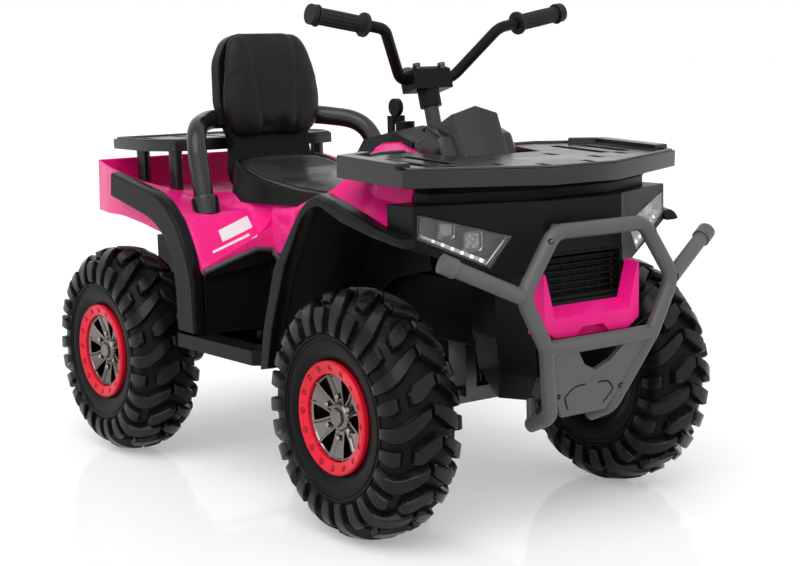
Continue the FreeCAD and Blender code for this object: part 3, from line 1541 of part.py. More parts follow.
fascia = make_fascia()
doc.recompute()
lamp_rooms = [lamp_block(sign, 0, -mm.lamp_depth, mm.lamp_depth) for sign in (-1, 1)]
grille_top_z = mm.fascia_base_z + mm.lamp_depth
grille_room = Part.makeBox(number(mm.grille_depth + mm.overrun), number(mm.grille_half_width * 2),
                           number(grille_top_z - mm.grille_base_z),
                           point(mm.nose_front_x - mm.grille_depth, -mm.grille_half_width, mm.grille_base_z))
fascia_form = fascia.Shape.cut(lamp_rooms + [grille_room] + fender_forms)
piece(formed("front_fascia", fascia_form), "front_fascia")

housings = []
lenses = []
for sign in (-1, 1):
    shell = lamp_block(sign, 0, -mm.lamp_depth, -mm.lamp_lens_wall)
    core = lamp_block(sign, mm.lamp_rim, mm.lamp_rim - mm.lamp_depth, mm.lamp_depth)
    housings.append(shell.cut(core))
    lenses.append(lamp_block(sign, 0, -mm.lamp_lens_wall, 0))
piece(formed("headlamp_housings", Part.makeCompound(housings)), "headlamp_housings")
piece(formed("headlamp_lenses", Part.makeCompound(lenses)), "headlamp_lenses")


# Nose below the fascia, with the grille and the pink mask

# each row: share of the height, then (share behind the front, share of the half width)
NOSE_SHARES = (
    (0.00, ((0.36, 0.53), (0.69, 0.70), (0.86, 0.60))),
    (0.22, ((0.06, 0.69), (0.53, 0.82), (0.96, 0.76))),
    (0.50, ((0.0, 0.75), (0.45, 0.95), (1.0, 0.82))),
    (0.75, ((0.0, 0.80), (0.41, 1.0), (1.0, 0.82))),
    (1.00, ((0.0, 0.82), (0.37, 1.0), (1.0, 0.82))),
)


def nose_sections(side_wall, end_wall):
    """Level sections of the nose; the walls move the sides in and the two ends back."""
    sections = []
    height = mm.fascia_base_z - mm.nose_base_z
    for up_share, half in NOSE_SHARES:
        z = mm.nose_base_z + height * up_share
        spots = []
        for index, (back_share, aside_share) in enumerate(half):
            x = mm.nose_front_x - mm.nose_length * back_share
            if index in (0, len(half) - 1):
                x = x - end_wall
            spots.append(point(x, mm.nose_half_width * aside_share - side_wall, z))
        spots += [FreeCAD.Vector(spot.x, -spot.y, spot.z) for spot in reversed(spots)]
        sections.append(spots)
    return sections


nose_solid = loft_through(nose_sections(0, 0))


def make_nose():
    core_sections = nose_sections(mm.panel_wall, mm.nose_end_wall)
    for spot in core_sections[0]:
        spot.z += number(mm.panel_wall)
    for spot in core_sections[-1]:
        spot.z -= number(mm.panel_wall)
    return nose_solid.cut([loft_through(core_sections), grille_room, tub.Shape] + fender_forms)


piece(formed("nose_shell", make_nose()), "nose_shell")


GRILLE_FRAME_SHARE = 0.8


def make_grille():
    body = new_body("grille")
    rear_x = mm.nose_front_x - mm.grille_depth
    half = mm.grille_half_width
    back = sketch(body, "YZ_Plane", rear_x)
    draw_polygon(back, [(half, mm.grille_base_z), (half, grille_top_z), (-half, grille_top_z),
                        (-half, mm.grille_base_z)])
    pad(body, back, mm.grille_back)
    doc.recompute()
    frame = sketch(body, "YZ_Plane", rear_x)
    draw_polygon(frame, [(half, mm.grille_base_z), (half, grille_top_z), (-half, grille_top_z),
                         (-half, mm.grille_base_z)])
    inner = half - mm.grille_frame
    low = mm.grille_base_z + mm.grille_frame
    draw_polygon(frame, [(inner, low), (inner, grille_top_z - mm.grille_frame),
                         (-inner, grille_top_z - mm.grille_frame), (-inner, low)])
    pad(body, frame, mm.grille_depth * GRILLE_FRAME_SHARE)
    doc.recompute()
    bar = sketch(body, "YZ_Plane", rear_x)
    bar_z = low + mm.louvre_pitch / 2
    reach = inner + mm.grille_frame / 2
    draw_polygon(bar, [(reach, bar_z), (reach, bar_z + mm.louvre_height), (-reach, bar_z + mm.louvre_height),
                       (-reach, bar_z)])
    louvre = pad(body, bar, mm.grille_depth / 2)
    doc.recompute()
    row(body, louvre, "Z_Axis", mm.louvre_pitch * (mm.louvre_count - 1), mm.louvre_count)
    doc.recompute()
    upright = sketch(body, "YZ_Plane", rear_x)
    start = -mm.grille_rib_pitch * (mm.grille_rib_count - 1) / 2
    lower = mm.grille_base_z + mm.grille_frame / 2
    draw_polygon(upright, [(start, lower), (start + mm.grille_rib_width, lower),
                           (start + mm.grille_rib_width, grille_top_z - mm.grille_frame / 2),
                           (start, grille_top_z - mm.grille_frame / 2)])
    rib = pad(body, upright, mm.grille_depth / 3)
    doc.recompute()
    row(body, rib, "Y_Axis", mm.grille_rib_pitch * (mm.grille_rib_count - 1), mm.grille_rib_count)
    return body


piece(make_grille(), "grille")

# the mask's outline on the nose, and the smaller one of its front face
MASK_BACK_SHARES = ((0.60, 0.46), (0.74, 1.0), (0.84, 1.0), (0.90, 0.14), (0.70, 0.0))
MASK_FRONT_SHARES = ((0.63, 0.32), (0.775, 0.94), (0.81, 0.95), (0.80, 0.18), (0.62, 0.05))


def make_mask():
    outlines = []
    mask_front_x = mm.nose_front_x + mm.mask_thickness
    for shares, x in ((MASK_BACK_SHARES, mm.nose_front_x), (MASK_FRONT_SHARES, mask_front_x)):
        spots = [point(x, mm.mask_half_width * aside, mm.mask_base_z + mm.mask_height * up)
                 for aside, up in shares]
        outlines.append(spots + [FreeCAD.Vector(spot.x, -spot.y, spot.z) for spot in reversed(spots)])
    half = mm.mask_slot_half
    floor_x = mm.nose_front_x + mm.mask_thickness / 2
    low_z = mm.mask_base_z - mm.overrun
    high_z = mm.mask_base_z + mm.mask_slot_height
    notch = prism([point(floor_x, half, low_z), point(floor_x, half / 2, high_z),
                   point(floor_x, -half / 2, high_z), point(floor_x, -half, low_z)],
                  point(mm.mask_thickness, 0, 0))
    return loft_through(outlines).cut([notch, fascia_form])


piece(formed("nose_mask", make_mask()), "nose_mask")


# Tank cover and the faceted dash hood

TANK_SHARES = (
    (0.00, ((0, 0.12), (0.33, 0.08), (0.60, 0.0))),
    (0.14, ((0, 0.78), (0.54, 0.70), (0.91, 0.0))),
    (0.52, ((0, 1.0), (0.63, 0.90), (1.0, 0.0))),
    (0.76, ((0, 0.82), (0.65, 0.70), (1.0, 0.0))),
    (1.00, ((0, 0.34), (0.67, 0.26), (0.92, 0.0))),
)
HOOD_SHARES = (
    (0.00, ((0, 0.58), (0.70, 0.55), (1.0, 0.48), (1.2, 0.0))),
    (0.18, ((0, 0.72), (0.68, 0.68), (1.0, 0.58), (1.2, 0.0))),
    (0.47, ((0, 1.0), (0.67, 0.93), (0.97, 0.60), (1.16, 0.0))),
    (1.00, ((0, 0.26), (0.80, 0.24), (0.94, 0.18), (1.0, 0.0))),
)
hood_frame = (mm.hood_rear_x, mm.hood_length, mm.hood_half_width, mm.tank_base_z, mm.hood_height)
tank_frame = (mm.tank_rear_x, mm.tank_length, mm.tank_half_width, mm.tank_base_z, mm.tank_height)
hood_solid = loft_through(body_sections(HOOD_SHARES, hood_frame, 0.0))
tank_solid = loft_through(body_sections(TANK_SHARES, tank_frame, 0.0))
below_covers = [flank_solid, cowl_solid, column_room]
hood_shell = moulded_shell(HOOD_SHARES, hood_frame, mm.panel_wall, False, False)
piece(formed("dash_hood", hood_shell.cut(below_covers)), "dash_hood")

lever_z = mm.tank_base_z + mm.tank_height + mm.lever_pivot_radius
ear_y = mm.lever_pivot_width / 2 + mm.seat_gap
lever_pin_half = ear_y + mm.lever_bracket_wall


def make_tank():
    shell = moulded_shell(TANK_SHARES, tank_frame, mm.panel_wall, False, False)
    ears = []
    for low_y in (-lever_pin_half, ear_y):
        ears.append(Part.makeBox(number(mm.lever_pivot_radius) * 2, number(mm.lever_bracket_wall),
                                 number(mm.tank_height / 2 + mm.lever_pivot_radius * 2),
                                 point(mm.lever_x - mm.lever_pivot_radius, low_y,
                                       mm.tank_base_z + mm.tank_height / 2)))
    cap = Part.makeCylinder(number(mm.tank_cap_radius), number(mm.tank_cap_height + mm.tank_height / 2),
                            point(mm.tank_cap_x, mm.tank_cap_y, mm.tank_base_z + mm.tank_height / 2))
    pin_hole = rod(point(mm.lever_x, -mm.tank_half_width, lever_z),
                   point(mm.lever_x, mm.tank_half_width, lever_z), mm.lever_radius + mm.running_fit)
    return shell.multiFuse(ears + [cap]).cut([pin_hole, hood_solid] + below_covers)


piece(formed("tank_cover", make_tank()), "tank_cover")


def make_lever():
    stem_top = lever_z + mm.lever_length
    parts = [
        cylinder("lever_pivot", mm.lever_pivot_radius - mm.seat_gap, mm.lever_pivot_width,
                 mm.lever_x, -mm.lever_pivot_width / 2, lever_z, Y_AXIS),
        cylinder("lever_pin", mm.lever_radius, lever_pin_half * 2,
                 mm.lever_x, -lever_pin_half, lever_z, Y_AXIS),
        cylinder("lever_stem", mm.lever_radius, mm.lever_length, mm.lever_x, 0, lever_z),
        cylinder("lever_knob", mm.lever_knob_radius, mm.lever_knob_width,
                 mm.lever_x, -mm.lever_knob_width / 2, stem_top, Y_AXIS),
    ]
    return fused("shift_lever", parts)


piece(make_lever(), "shift_lever")


# Rear rack on its posts

REAR_RACK_SHARES = ((0.0, 0.62), (-0.06, 0.85), (-0.33, 1.0), (-1.0, 0.95))
REAR_SLOT_SHARES = (
    ((-0.22, 0.10), (-0.22, 0.18), (-0.84, 0.18), (-0.84, 0.10)),
    ((-0.22, 0.36), (-0.22, 0.44), (-0.84, 0.44), (-0.84, 0.36)),
    ((-0.34, 0.72), (-0.34, 0.80), (-0.84, 0.78), (-0.84, 0.70)),
)


def make_rear_rack():
    body = new_body("tail_rack")
    length = mm.rear_rack_length
    half = mm.rear_rack_half_width
    outline = sketch(body, "XY_Plane", -mm.rear_rack_thickness)
    draw_polygon(outline, both_sides(rack_corners(REAR_RACK_SHARES, length, half)))
    pad(body, outline, mm.rear_rack_thickness)
    doc.recompute()
    slots = sketch(body, "XY_Plane")
    for shares in REAR_SLOT_SHARES:
        draw_polygon(slots, rack_corners(shares, length, half))
    opening = pocket(body, slots)
    doc.recompute()
    twin(body, opening)
    place(body, mm.rear_rack_front_x, 0, mm.rear_rack_top_z)
    return body


tail_rack = make_rear_rack()
doc.recompute()
posts = []
for post_x in (mm.rack_post_front_x, mm.rack_post_rear_x):
    for post_y in (-mm.rack_post_y, mm.rack_post_y):
        posts.append(rod(point(post_x, post_y, mm.deck_z - mm.panel_wall),
                         point(post_x, post_y, mm.rear_rack_top_z - mm.rear_rack_thickness / 2),
                         mm.rack_post_radius))
rear_rack_form = tail_rack.Shape.multiFuse(posts).cut(rear_body_solid)
piece(formed("rear_rack", rear_rack_form), "rear_rack")


# Backrest frame, leaning back

BACKREST_SHARES = ((0.88, -0.60), (0.78, -0.04), (1.0, 0.30), (0.94, 0.74), (0.68, 1.0))
backrest_lean = math.degrees(math.atan2(number(mm.backrest_lean_run), number(mm.backrest_lean_rise)))
backrest_spot = FreeCAD.Placement(point(mm.backrest_base_x, 0, mm.backrest_base_z),
                                  FreeCAD.Rotation(Y_AXIS, -backrest_lean))


def backrest_outline(shares, x, inset):
    spots = [point(x, mm.backrest_width / 2 * aside - inset, mm.backrest_height * up - inset)
             for aside, up in shares]
    other = [FreeCAD.Vector(spot.x, -spot.y, spot.z) for spot in reversed(spots)]
    return spots + other


def make_backrest_frame():
    spots = backrest_outline(BACKREST_SHARES, -mm.backrest_frame_depth, 0)
    outline = rounded_outline(spots, mm.backrest_corner)
    slab = Part.Face(outline).extrude(point(mm.backrest_frame_depth, 0, 0))
    slab.Placement = backrest_spot
    deck = Part.makeBox(number(mm.rear_body_length), number(mm.backrest_width), number(mm.backrest_height),
                        point(mm.seat_rear_x - mm.rear_body_length / 2, -mm.backrest_width / 2,
                              mm.deck_z - mm.backrest_height))
    return slab.cut(deck)


backrest_frame = make_backrest_frame()
piece(formed("backrest_frame", backrest_frame), "backrest_frame")


# Soft backrest pad: drawn in at its edge, crowned, with two channels that run together downward

PAD_SHARES = ((0.66, 0.0), (0.99, 0.28), (0.93, 0.73), (0.67, 0.98))
PAD_LAYER_SHARES = ((0.0, 0.7), (0.35, 0.0), (0.7, 0.35), (1.0, 1.3))
CHANNEL_SHARES = ((0.52, 1.1), (0.30, -0.1))


def make_backrest_pad():
    layers = []
    for depth_share, inset_share in PAD_LAYER_SHARES:
        x = mm.seat_gap + mm.backrest_pad_depth * depth_share
        spots = backrest_outline(PAD_SHARES, x, mm.backrest_pad_margin * inset_share)
        layers.append(rounded_outline(spots, mm.backrest_corner))
    soft = Part.makeLoft(layers, True, True)
    half = mm.seam_width / 2
    front_x = mm.seat_gap + mm.backrest_pad_depth + mm.overrun
    floor_x = front_x - mm.overrun - mm.seam_depth
    for sign in (-1, 1):
        spots = []
        for aside, up in CHANNEL_SHARES:
            y = mm.backrest_width / 2 * aside * sign
            spots.append((y, mm.backrest_height * up))
        (top_y, top_z), (low_y, low_z) = spots
        groove = prism([point(floor_x, top_y - half, top_z), point(floor_x, top_y + half, top_z),
                        point(floor_x, low_y + half, low_z), point(floor_x, low_y - half, low_z)],
                       point(front_x - floor_x, 0, 0))
        soft = soft.cut(groove)
    soft.Placement = backrest_spot
    return soft


piece(formed("backrest_cushion", make_backrest_pad()), "backrest_cushion")


# Seat base, a flared bowl on the deck, and the dished seat cushion in it

# each row: share of the length, share of the half width, rim rise and middle rise as shares
SEAT_SECTION_SHARES = (
    (0.0, 0.78, 1.30, 1.42), (0.09, 0.93, 1.12, 0.92), (0.32, 0.99, 1.0, 0.62), (0.58, 0.91, 0.86, 0.58),
    (0.80, 0.76, 0.60, 0.50), (0.95, 0.56, 0.30, 0.36), (1.0, 0.44, 0.18, 0.22),
)
seat_base_top = mm.deck_z + mm.seat_base_height


def seat_section(row_shares, base_z, grow, dished):
    """One cross section of the cushion, or of the well that holds it, which is as much larger all round."""
    along, aside, rim_share, middle_share = row_shares
    x = mm.seat_rear_x + mm.seat_length * along
    wide = mm.seat_half_width * aside + grow
    foot = wide - mm.seat_tuck
    crest = wide - mm.seat_tuck * 2
    rim_z = base_z + mm.seat_rim_height * rim_share
    middle_z = base_z + mm.seat_rim_height * middle_share
    waist_z = base_z + mm.seat_rim_height * (rim_share / 2)
    top = line(point(x, crest, rim_z), point(x, -crest, rim_z))
    if dished:
        top = arc(point(x, crest, rim_z), point(x, 0, middle_z), point(x, -crest, rim_z))
    return Part.Wire([
        line(point(x, -foot, base_z), point(x, foot, base_z)),
        arc(point(x, foot, base_z), point(x, wide, waist_z), point(x, crest, rim_z)),
        top,
        arc(point(x, -crest, rim_z), point(x, -wide, waist_z), point(x, -foot, base_z)),
    ])


def make_seat_base():
    """The bowl follows the cushion's plan and its rim, and its skirt spreads down over the deck."""
    outer = []
    skirt_z = mm.deck_z - mm.seat_skirt
    for along, aside, rim_share, middle_share in SEAT_SECTION_SHARES:
        x = mm.seat_rear_x + mm.seat_length * along
        brim_z = seat_base_top + mm.seat_rim_height * rim_share - mm.seat_lip
        brim = mm.seat_half_width * aside + mm.seat_play + mm.seat_wall
        foot = brim + mm.seat_flare
        outer.append([point(x, -foot, skirt_z), point(x, foot, skirt_z), point(x, brim, brim_z),
                      point(x, -brim, brim_z)])
    well = Part.makeLoft([seat_section(row_shares, seat_base_top, mm.seat_play, False)
                          for row_shares in SEAT_SECTION_SHARES], True, False)
    bowl = loft_through(outer).cut([well, rear_body_solid, flank_solid, tank_solid, backrest_frame])
    return max(bowl.Solids, key=lambda solid: solid.Volume)


piece(formed("seat_base", make_seat_base()), "seat_base")


def make_seat_cushion():
    base_z = seat_base_top + mm.seat_gap
    return Part.makeLoft([seat_section(row_shares, base_z, 0, True) for row_shares in SEAT_SECTION_SHARES],
                         True, False)


piece(formed("seat_cushion", make_seat_cushion()), "seat_cushion")


# Armrests from the fender deck to the backrest

def make_armrest(sign):
    foot_z = mm.deck_z - mm.armrest_radius * 3
    spots = [
        point(mm.armrest_foot_x, mm.armrest_foot_y * sign, foot_z),
        point(mm.armrest_bend_x, mm.armrest_bend_y * sign, mm.armrest_top_z),
        point(mm.armrest_back_x, mm.armrest_back_y * sign, mm.armrest_back_z),
        point(mm.armrest_back_x, mm.armrest_inner_y * sign, mm.armrest_back_z),
    ]
    half = mm.armrest_collar_half
    collar = Part.makeBox(number(half) * 2, number(half) * 2,
                          number(mm.armrest_radius * 3 + mm.armrest_collar_height),
                          spots[0] - point(half, half, 0))
    loop = tube(spots, mm.armrest_bend_radius, mm.armrest_radius).fuse(collar)
    return loop.cut([rear_body_solid, backrest_frame])


for side, sign in (("right", -1), ("left", 1)):
    piece(formed(f"armrest_{side}", make_armrest(sign)), f"armrest_{side}")


# Bull bar: one bent loop, two horns, a cross tube and its mounts

def make_bull_bar():
    half_spots = [
        point(mm.bull_hook_x, -mm.bull_foot_half, mm.bull_hook_z),
        point(mm.bull_foot_x, -mm.bull_foot_half, mm.bull_foot_z),
        point(mm.bull_front_x, -mm.bull_cross_half, mm.bull_cross_z),
        point(mm.bull_front_x, -mm.bull_kink_half, mm.bull_kink_z),
        point(mm.bull_front_x, -mm.bull_top_half, mm.bull_top_z),
    ]
    other = [FreeCAD.Vector(spot.x, -spot.y, spot.z) for spot in reversed(half_spots)]
    parts = [
        tube(half_spots + other, mm.bull_bend_radius, mm.bull_tube_radius),
        rod(point(mm.bull_front_x, -mm.bull_cross_half, mm.bull_cross_z),
            point(mm.bull_front_x, mm.bull_cross_half, mm.bull_cross_z), mm.bull_tube_radius),
    ]
    for sign in (-1, 1):
        root = point(mm.bull_front_x, mm.bull_kink_half * sign, mm.bull_kink_z)
        tip = point(mm.bull_horn_x, mm.bull_horn_half * sign, mm.bull_horn_z)
        out = (tip - root).normalize()
        parts.append(rod(root, tip, mm.bull_tube_radius))
        parts.append(rod(tip - out * number(mm.bull_cap_length), tip, mm.bull_cap_radius))
        mount_y = mm.bull_mount_half * sign
        parts.append(rod(point(mm.fascia_front_x, mount_y, mm.bull_top_z),
                         point(mm.bull_front_x, mount_y, mm.bull_top_z), mm.bull_mount_radius))
        stay_y = mm.bull_foot_half * sign
        parts.append(rod(point(mm.bull_hook_x, stay_y, mm.bull_hook_z),
                         point(mm.bull_hook_x, stay_y, mm.nose_base_z + mm.panel_wall), mm.bull_stay_radius))
    return parts[0].multiFuse(parts[1:])


bull_bar = make_bull_bar().cut([nose_solid, fascia_form])
piece(formed("bull_bar", bull_bar), "bull_bar")

PLATE_SHARES = ((0.0, 0.62), (0.24, 0.72), (0.50, 1.0), (1.0, 0.90), (1.0, 0.80), (0.42, 0.0), (0.0, 0.0))


def make_bull_plate():
    rise = mm.bull_cross_z - mm.bull_foot_z
    run = mm.bull_front_x - mm.bull_foot_x
    half = [(mm.bull_cross_half * aside, up) for aside, up in PLATE_SHARES]
    spots = [point(mm.bull_foot_x + run * up, aside, mm.bull_foot_z + rise * up) for aside, up in half]
    other = [FreeCAD.Vector(spot.x, -spot.y, spot.z) for spot in reversed(spots) if spot.y > 0]
    normal = point(rise, 0, -run).normalize()
    sheet_metal = prism(spots + other, normal * number(mm.bull_plate_wall))
    return sheet_metal.cut(bull_bar)


plate_solids = sorted(make_bull_plate().Solids, key=lambda solid: solid.Volume)
piece(formed("bull_bar_plate", plate_solids[-1]), "bull_bar_plate")


# Checks, then one file for each piece

doc.recompute()
faults = []
for item in doc.Objects:
    if "Invalid" in item.State or "Error" in item.State:
        faults.append(f"{item.Name}: {item.State}")
for part in pieces:
    shape = part.Shape
    if shape.isNull() or not shape.isValid() or not shape.Solids:
        faults.append(f"{part.Label}: shape is not a valid solid")
if faults:
    raise RuntimeError("; ".join(faults))
os.makedirs("parts", exist_ok=True)
for part in pieces:
    part.Shape.exportStep(f"parts/{part.Label}.step")
print(len(pieces), "pieces written")
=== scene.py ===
from math import atan, atan2, copysign, cos, exp, radians, sin, tau
import bmesh
import bpy
from mathutils import Matrix, Vector
from mathutils.bvhtree import BVHTree


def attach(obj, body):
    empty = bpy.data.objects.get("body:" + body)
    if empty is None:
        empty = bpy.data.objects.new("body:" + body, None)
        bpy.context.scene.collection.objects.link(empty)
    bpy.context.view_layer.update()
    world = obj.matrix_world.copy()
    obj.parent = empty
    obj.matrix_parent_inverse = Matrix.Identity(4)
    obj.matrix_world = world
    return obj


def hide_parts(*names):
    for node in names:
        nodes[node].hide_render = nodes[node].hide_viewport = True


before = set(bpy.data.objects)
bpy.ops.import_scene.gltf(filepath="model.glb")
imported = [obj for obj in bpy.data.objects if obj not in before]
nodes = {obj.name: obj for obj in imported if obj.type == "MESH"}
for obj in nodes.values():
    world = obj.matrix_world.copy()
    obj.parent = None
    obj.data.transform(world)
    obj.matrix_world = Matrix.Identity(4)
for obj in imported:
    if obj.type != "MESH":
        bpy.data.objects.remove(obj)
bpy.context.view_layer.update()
SIDES = {"right": -1, "left": 1}
MM = 0.001


def placed(name, data):
    """A new object in the scene."""
    thing = bpy.data.objects.new(name, data)
    bpy.context.scene.collection.objects.link(thing)
    return thing


def on_both_sides(*makers):
    for side, sign in SIDES.items():
        for make in makers:
            make(side, sign)


# Node helpers

def add(tree, kind, inputs=None, **settings):
    """A node with its settings, and with its inputs linked or set."""
    node = tree.nodes.new(kind)
    for name, value in settings.items():
        setattr(node, name, value)
    for name, value in (inputs or {}).items():
        if isinstance(value, bpy.types.NodeSocket):
            tree.links.new(value, node.inputs[name])
        else:
            node.inputs[name].default_value = value
    return node


def group(name, inputs, outputs):
    """An effect made of numbers: its tree, what goes in and what comes out."""
    tree = bpy.data.node_groups.new(name, "ShaderNodeTree")
    for label, value in inputs.items():
        socket = tree.interface.new_socket(label, in_out="INPUT", socket_type="NodeSocketFloat")
        socket.default_value = value
    for label in outputs:
        tree.interface.new_socket(label, in_out="OUTPUT", socket_type="NodeSocketFloat")
    return tree, tree.nodes.new("NodeGroupInput").outputs, tree.nodes.new("NodeGroupOutput").inputs


def math_node(tree, operation, first, second=0, clamp=False):
    node = add(tree, "ShaderNodeMath", {0: first, 1: second}, operation=operation, use_clamp=clamp)
    return node.outputs[0]


def product(tree, first, *others):
    for other in others:
        first = math_node(tree, "MULTIPLY", first, other)
    return first


def mixed(tree, mask, low, high):
    """Two colours mixed by a mask. Each is a socket, or shares of red, green and blue."""
    low, high = [(*colour, 1) if isinstance(colour, tuple) else colour for colour in (low, high)]
    return add(tree, "ShaderNodeMix", {0: mask, 6: low, 7: high}, data_type="RGBA").outputs[2]


def spread(tree, value, low, high, to_low=0, to_high=1):
    """A value carried softly from one range to another."""
    ends = {"Value": value, "From Min": low, "From Max": high, "To Min": to_low, "To Max": to_high}
    return add(tree, "ShaderNodeMapRange", ends, interpolation_type="SMOOTHSTEP").outputs[0]


def noise(tree, place, scale, detail, roughness=0.5):
    values = {"Vector": place, "Scale": scale, "Detail": detail, "Roughness": roughness}
    return add(tree, "ShaderNodeTexNoise", values).outputs["Fac"]


def object_place(tree):
    return add(tree, "ShaderNodeTexCoord").outputs["Object"]


# Effects that several finishes share

def moulded_grain_group():
    tree, given, out = group("moulded_grain", {"Size": 0.0012, "Patch Size": 0.09}, ("Height", "Patches"))
    place = object_place(tree)
    grain = noise(tree, place, math_node(tree, "DIVIDE", 1, given["Size"]), 3, 0.6)
    patches = noise(tree, place, math_node(tree, "DIVIDE", 1, given["Patch Size"]), 2)
    tree.links.new(grain, out["Height"])
    tree.links.new(spread(tree, patches, 0.35, 0.65), out["Patches"])
    return tree


# Scuffs roughen the surface along fine lines; Edges is a painted highlight, a paler colour on sharp edges
# found by pointiness.
def scuffs_and_edge_highlight_group():
    tree, given, out = group("scuffs_and_edge_highlights", {"Amount": 0.1, "Edge Amount": 0.2}, ("Scuffs", "Edges"))
    place = object_place(tree)
    stretch = {"Vector": place, "Scale": (22, 60, 34), "Rotation": (0.4, 0.3, 0.9)}
    lines = noise(tree, add(tree, "ShaderNodeMapping", stretch).outputs[0], 4, 6, 0.75)
    where = noise(tree, place, 9, 2)
    marks = product(tree, spread(tree, lines, 0.6, 0.72), spread(tree, where, 0.48, 0.68), given["Amount"])
    tree.links.new(marks, out["Scuffs"])
    bend = add(tree, "ShaderNodeNewGeometry").outputs["Pointiness"]
    edges = product(tree, spread(tree, bend, 0.56, 0.7), spread(tree, lines, 0.3, 0.6), given["Edge Amount"])
    tree.links.new(edges, out["Edges"])
    return tree


# Upward faces made paler under a cloudy mask: a film of dust, and on the tyres a painted highlight on the lug
# tops.
def dust_and_top_highlight_group():
    tree, given, out = group("dust_and_top_highlight", {"Amount": 0.1}, ("Mask",))
    normal = add(tree, "ShaderNodeNewGeometry").outputs["Normal"]
    up = add(tree, "ShaderNodeSeparateXYZ", {0: normal}).outputs["Z"]
    cloud = noise(tree, object_place(tree), 26, 5, 0.65)
    mask = product(tree, spread(tree, up, 0.3, 1), spread(tree, cloud, 0.4, 0.75), given["Amount"])
    tree.links.new(mask, out["Mask"])
    return tree


moulded_grain = moulded_grain_group()
scuffs_and_edge_highlights = scuffs_and_edge_highlight_group()
dust_and_top_highlight = dust_and_top_highlight_group()


# Finishes

def finish(name, metallic=0, specular=0.5, ior=1.5):
    made = bpy.data.materials.new(name)
    made.use_nodes = True
    tree = made.node_tree
    shader = tree.nodes["Principled BSDF"]
    for label, value in (("Metallic", metallic), ("Specular IOR Level", specular), ("IOR", ior)):
        shader.inputs[label].default_value = value
    return made, tree, shader


def put(tree, effect, **values):
    node = tree.nodes.new("ShaderNodeGroup")
    node.node_tree = effect
    for label, value in values.items():
        node.inputs[label.replace("_", " ")].default_value = value
    return node.outputs


# the paler colour of upward faces: dust, and a painted highlight
DUST_AND_HIGHLIGHT_COLOUR, SCUFF_AMOUNT, BUMP_STRENGTH = (0.55, 0.53, 0.5), 0.35, 0.5


def moulded(name, colour, second, smooth, rough, grain=1.1, depth=120, edge_highlight_colour=(0.12, 0.12, 0.12),
            edges=0.1, dust=0.012, **shader_values):
    """Two close tones, with paler edges that are a painted highlight, paler upward faces that are dust and a
    painted highlight, and a grain: its size in millimetres, its depth in micrometres.
    """
    made, tree, shader = finish(name, **shader_values)
    surface = put(tree, moulded_grain, Size=grain * MM)
    marks = put(tree, scuffs_and_edge_highlights, Amount=SCUFF_AMOUNT, Edge_Amount=edges)
    base = mixed(tree, surface["Patches"], colour, second)
    # paler colour on sharp edges: painted highlight
    base = mixed(tree, marks["Edges"], base, edge_highlight_colour)
    # upward faces paler: dust and a painted highlight
    base = mixed(tree, put(tree, dust_and_top_highlight, Amount=dust)["Mask"], base, DUST_AND_HIGHLIGHT_COLOUR)
    tree.links.new(base, shader.inputs["Base Color"])
    gloss = spread(tree, surface["Patches"], 0, 1, smooth, rough)
    tree.links.new(math_node(tree, "ADD", gloss, marks["Scuffs"], True), shader.inputs["Roughness"])
    relief = {"Height": surface["Height"], "Distance": depth * MM * MM, "Strength": BUMP_STRENGTH}
    tree.links.new(add(tree, "ShaderNodeBump", relief).outputs[0], shader.inputs["Normal"])
    return made


# In each finish the edge colour and amount set a painted highlight on its edges, and the dust amount sets
# dust and a painted highlight on upward faces.
pink_shell = moulded(
    "pink_shell", (0.93, 0.009, 0.25), (0.88, 0.007, 0.23), 0.26, 0.34, depth=40, edge_highlight_colour=(0.96, 0.2, 0.45),
    edges=0.2, dust=0.006, specular=0.22)
black_shell = moulded(
    "black_shell", (0.005, 0.005, 0.0055), (0.0075, 0.0075, 0.008), 0.34, 0.44, specular=0.3, ior=1.25)
grained_black = moulded(
    "grained_black", (0.008, 0.008, 0.0088), (0.011, 0.011, 0.012), 0.2, 0.27, grain=1.6, depth=80,
    specular=0.42)
trim_black = moulded(
    "trim_black", (0.0042, 0.0042, 0.0046), (0.006, 0.006, 0.0065), 0.2, 0.27, grain=1.6, depth=80,
    specular=0.4, ior=1.22)
bar_paint = moulded(
    "bar_paint", (0.088, 0.088, 0.089), (0.1, 0.1, 0.101), 0.36, 0.46, depth=50, specular=0.3)
# on the tyres the dust amount is mostly a painted highlight on the upward lug tops
tyre_rubber = moulded(
    "tyre_rubber", (0.0036, 0.0037, 0.004), (0.0055, 0.0057, 0.0062), 0.3, 0.42, grain=0.9, depth=100,
    edge_highlight_colour=(0.07, 0.07, 0.072), edges=0.25, dust=0.08, specular=0.3, ior=1.22)
lug_rubber = moulded(
    "lug_rubber", (0.0044, 0.0045, 0.0048), (0.0068, 0.007, 0.0074), 0.17, 0.26, grain=0.9, depth=80,
    edge_highlight_colour=(0.08, 0.08, 0.083), edges=0.3, dust=0.06, specular=0.4, ior=1.3)
dark_chrome = moulded(
    "dark_chrome", (0.19, 0.176, 0.168), (0.12, 0.112, 0.107), 0.1, 0.18, depth=20, metallic=1,
    edge_highlight_colour=(0.7, 0.68, 0.66), edges=0.5, dust=0)
ring_red = moulded(
    "ring_red", (0.76, 0.008, 0.032), (0.7, 0.006, 0.027), 0.26, 0.36, depth=30, edge_highlight_colour=(0.9, 0.1, 0.12),
    edges=0.06, dust=0, specular=0.25)
bolt_red = moulded(
    "bolt_red", (0.42, 0.006, 0.018), (0.36, 0.004, 0.014), 0.24, 0.34, depth=20, edge_highlight_colour=(0.8, 0.08, 0.1),
    edges=0.2, dust=0, specular=0.3)
steel_plain = moulded(
    "steel_plain", (0.09, 0.09, 0.092), (0.065, 0.065, 0.068), 0.3, 0.42, depth=20, metallic=1)
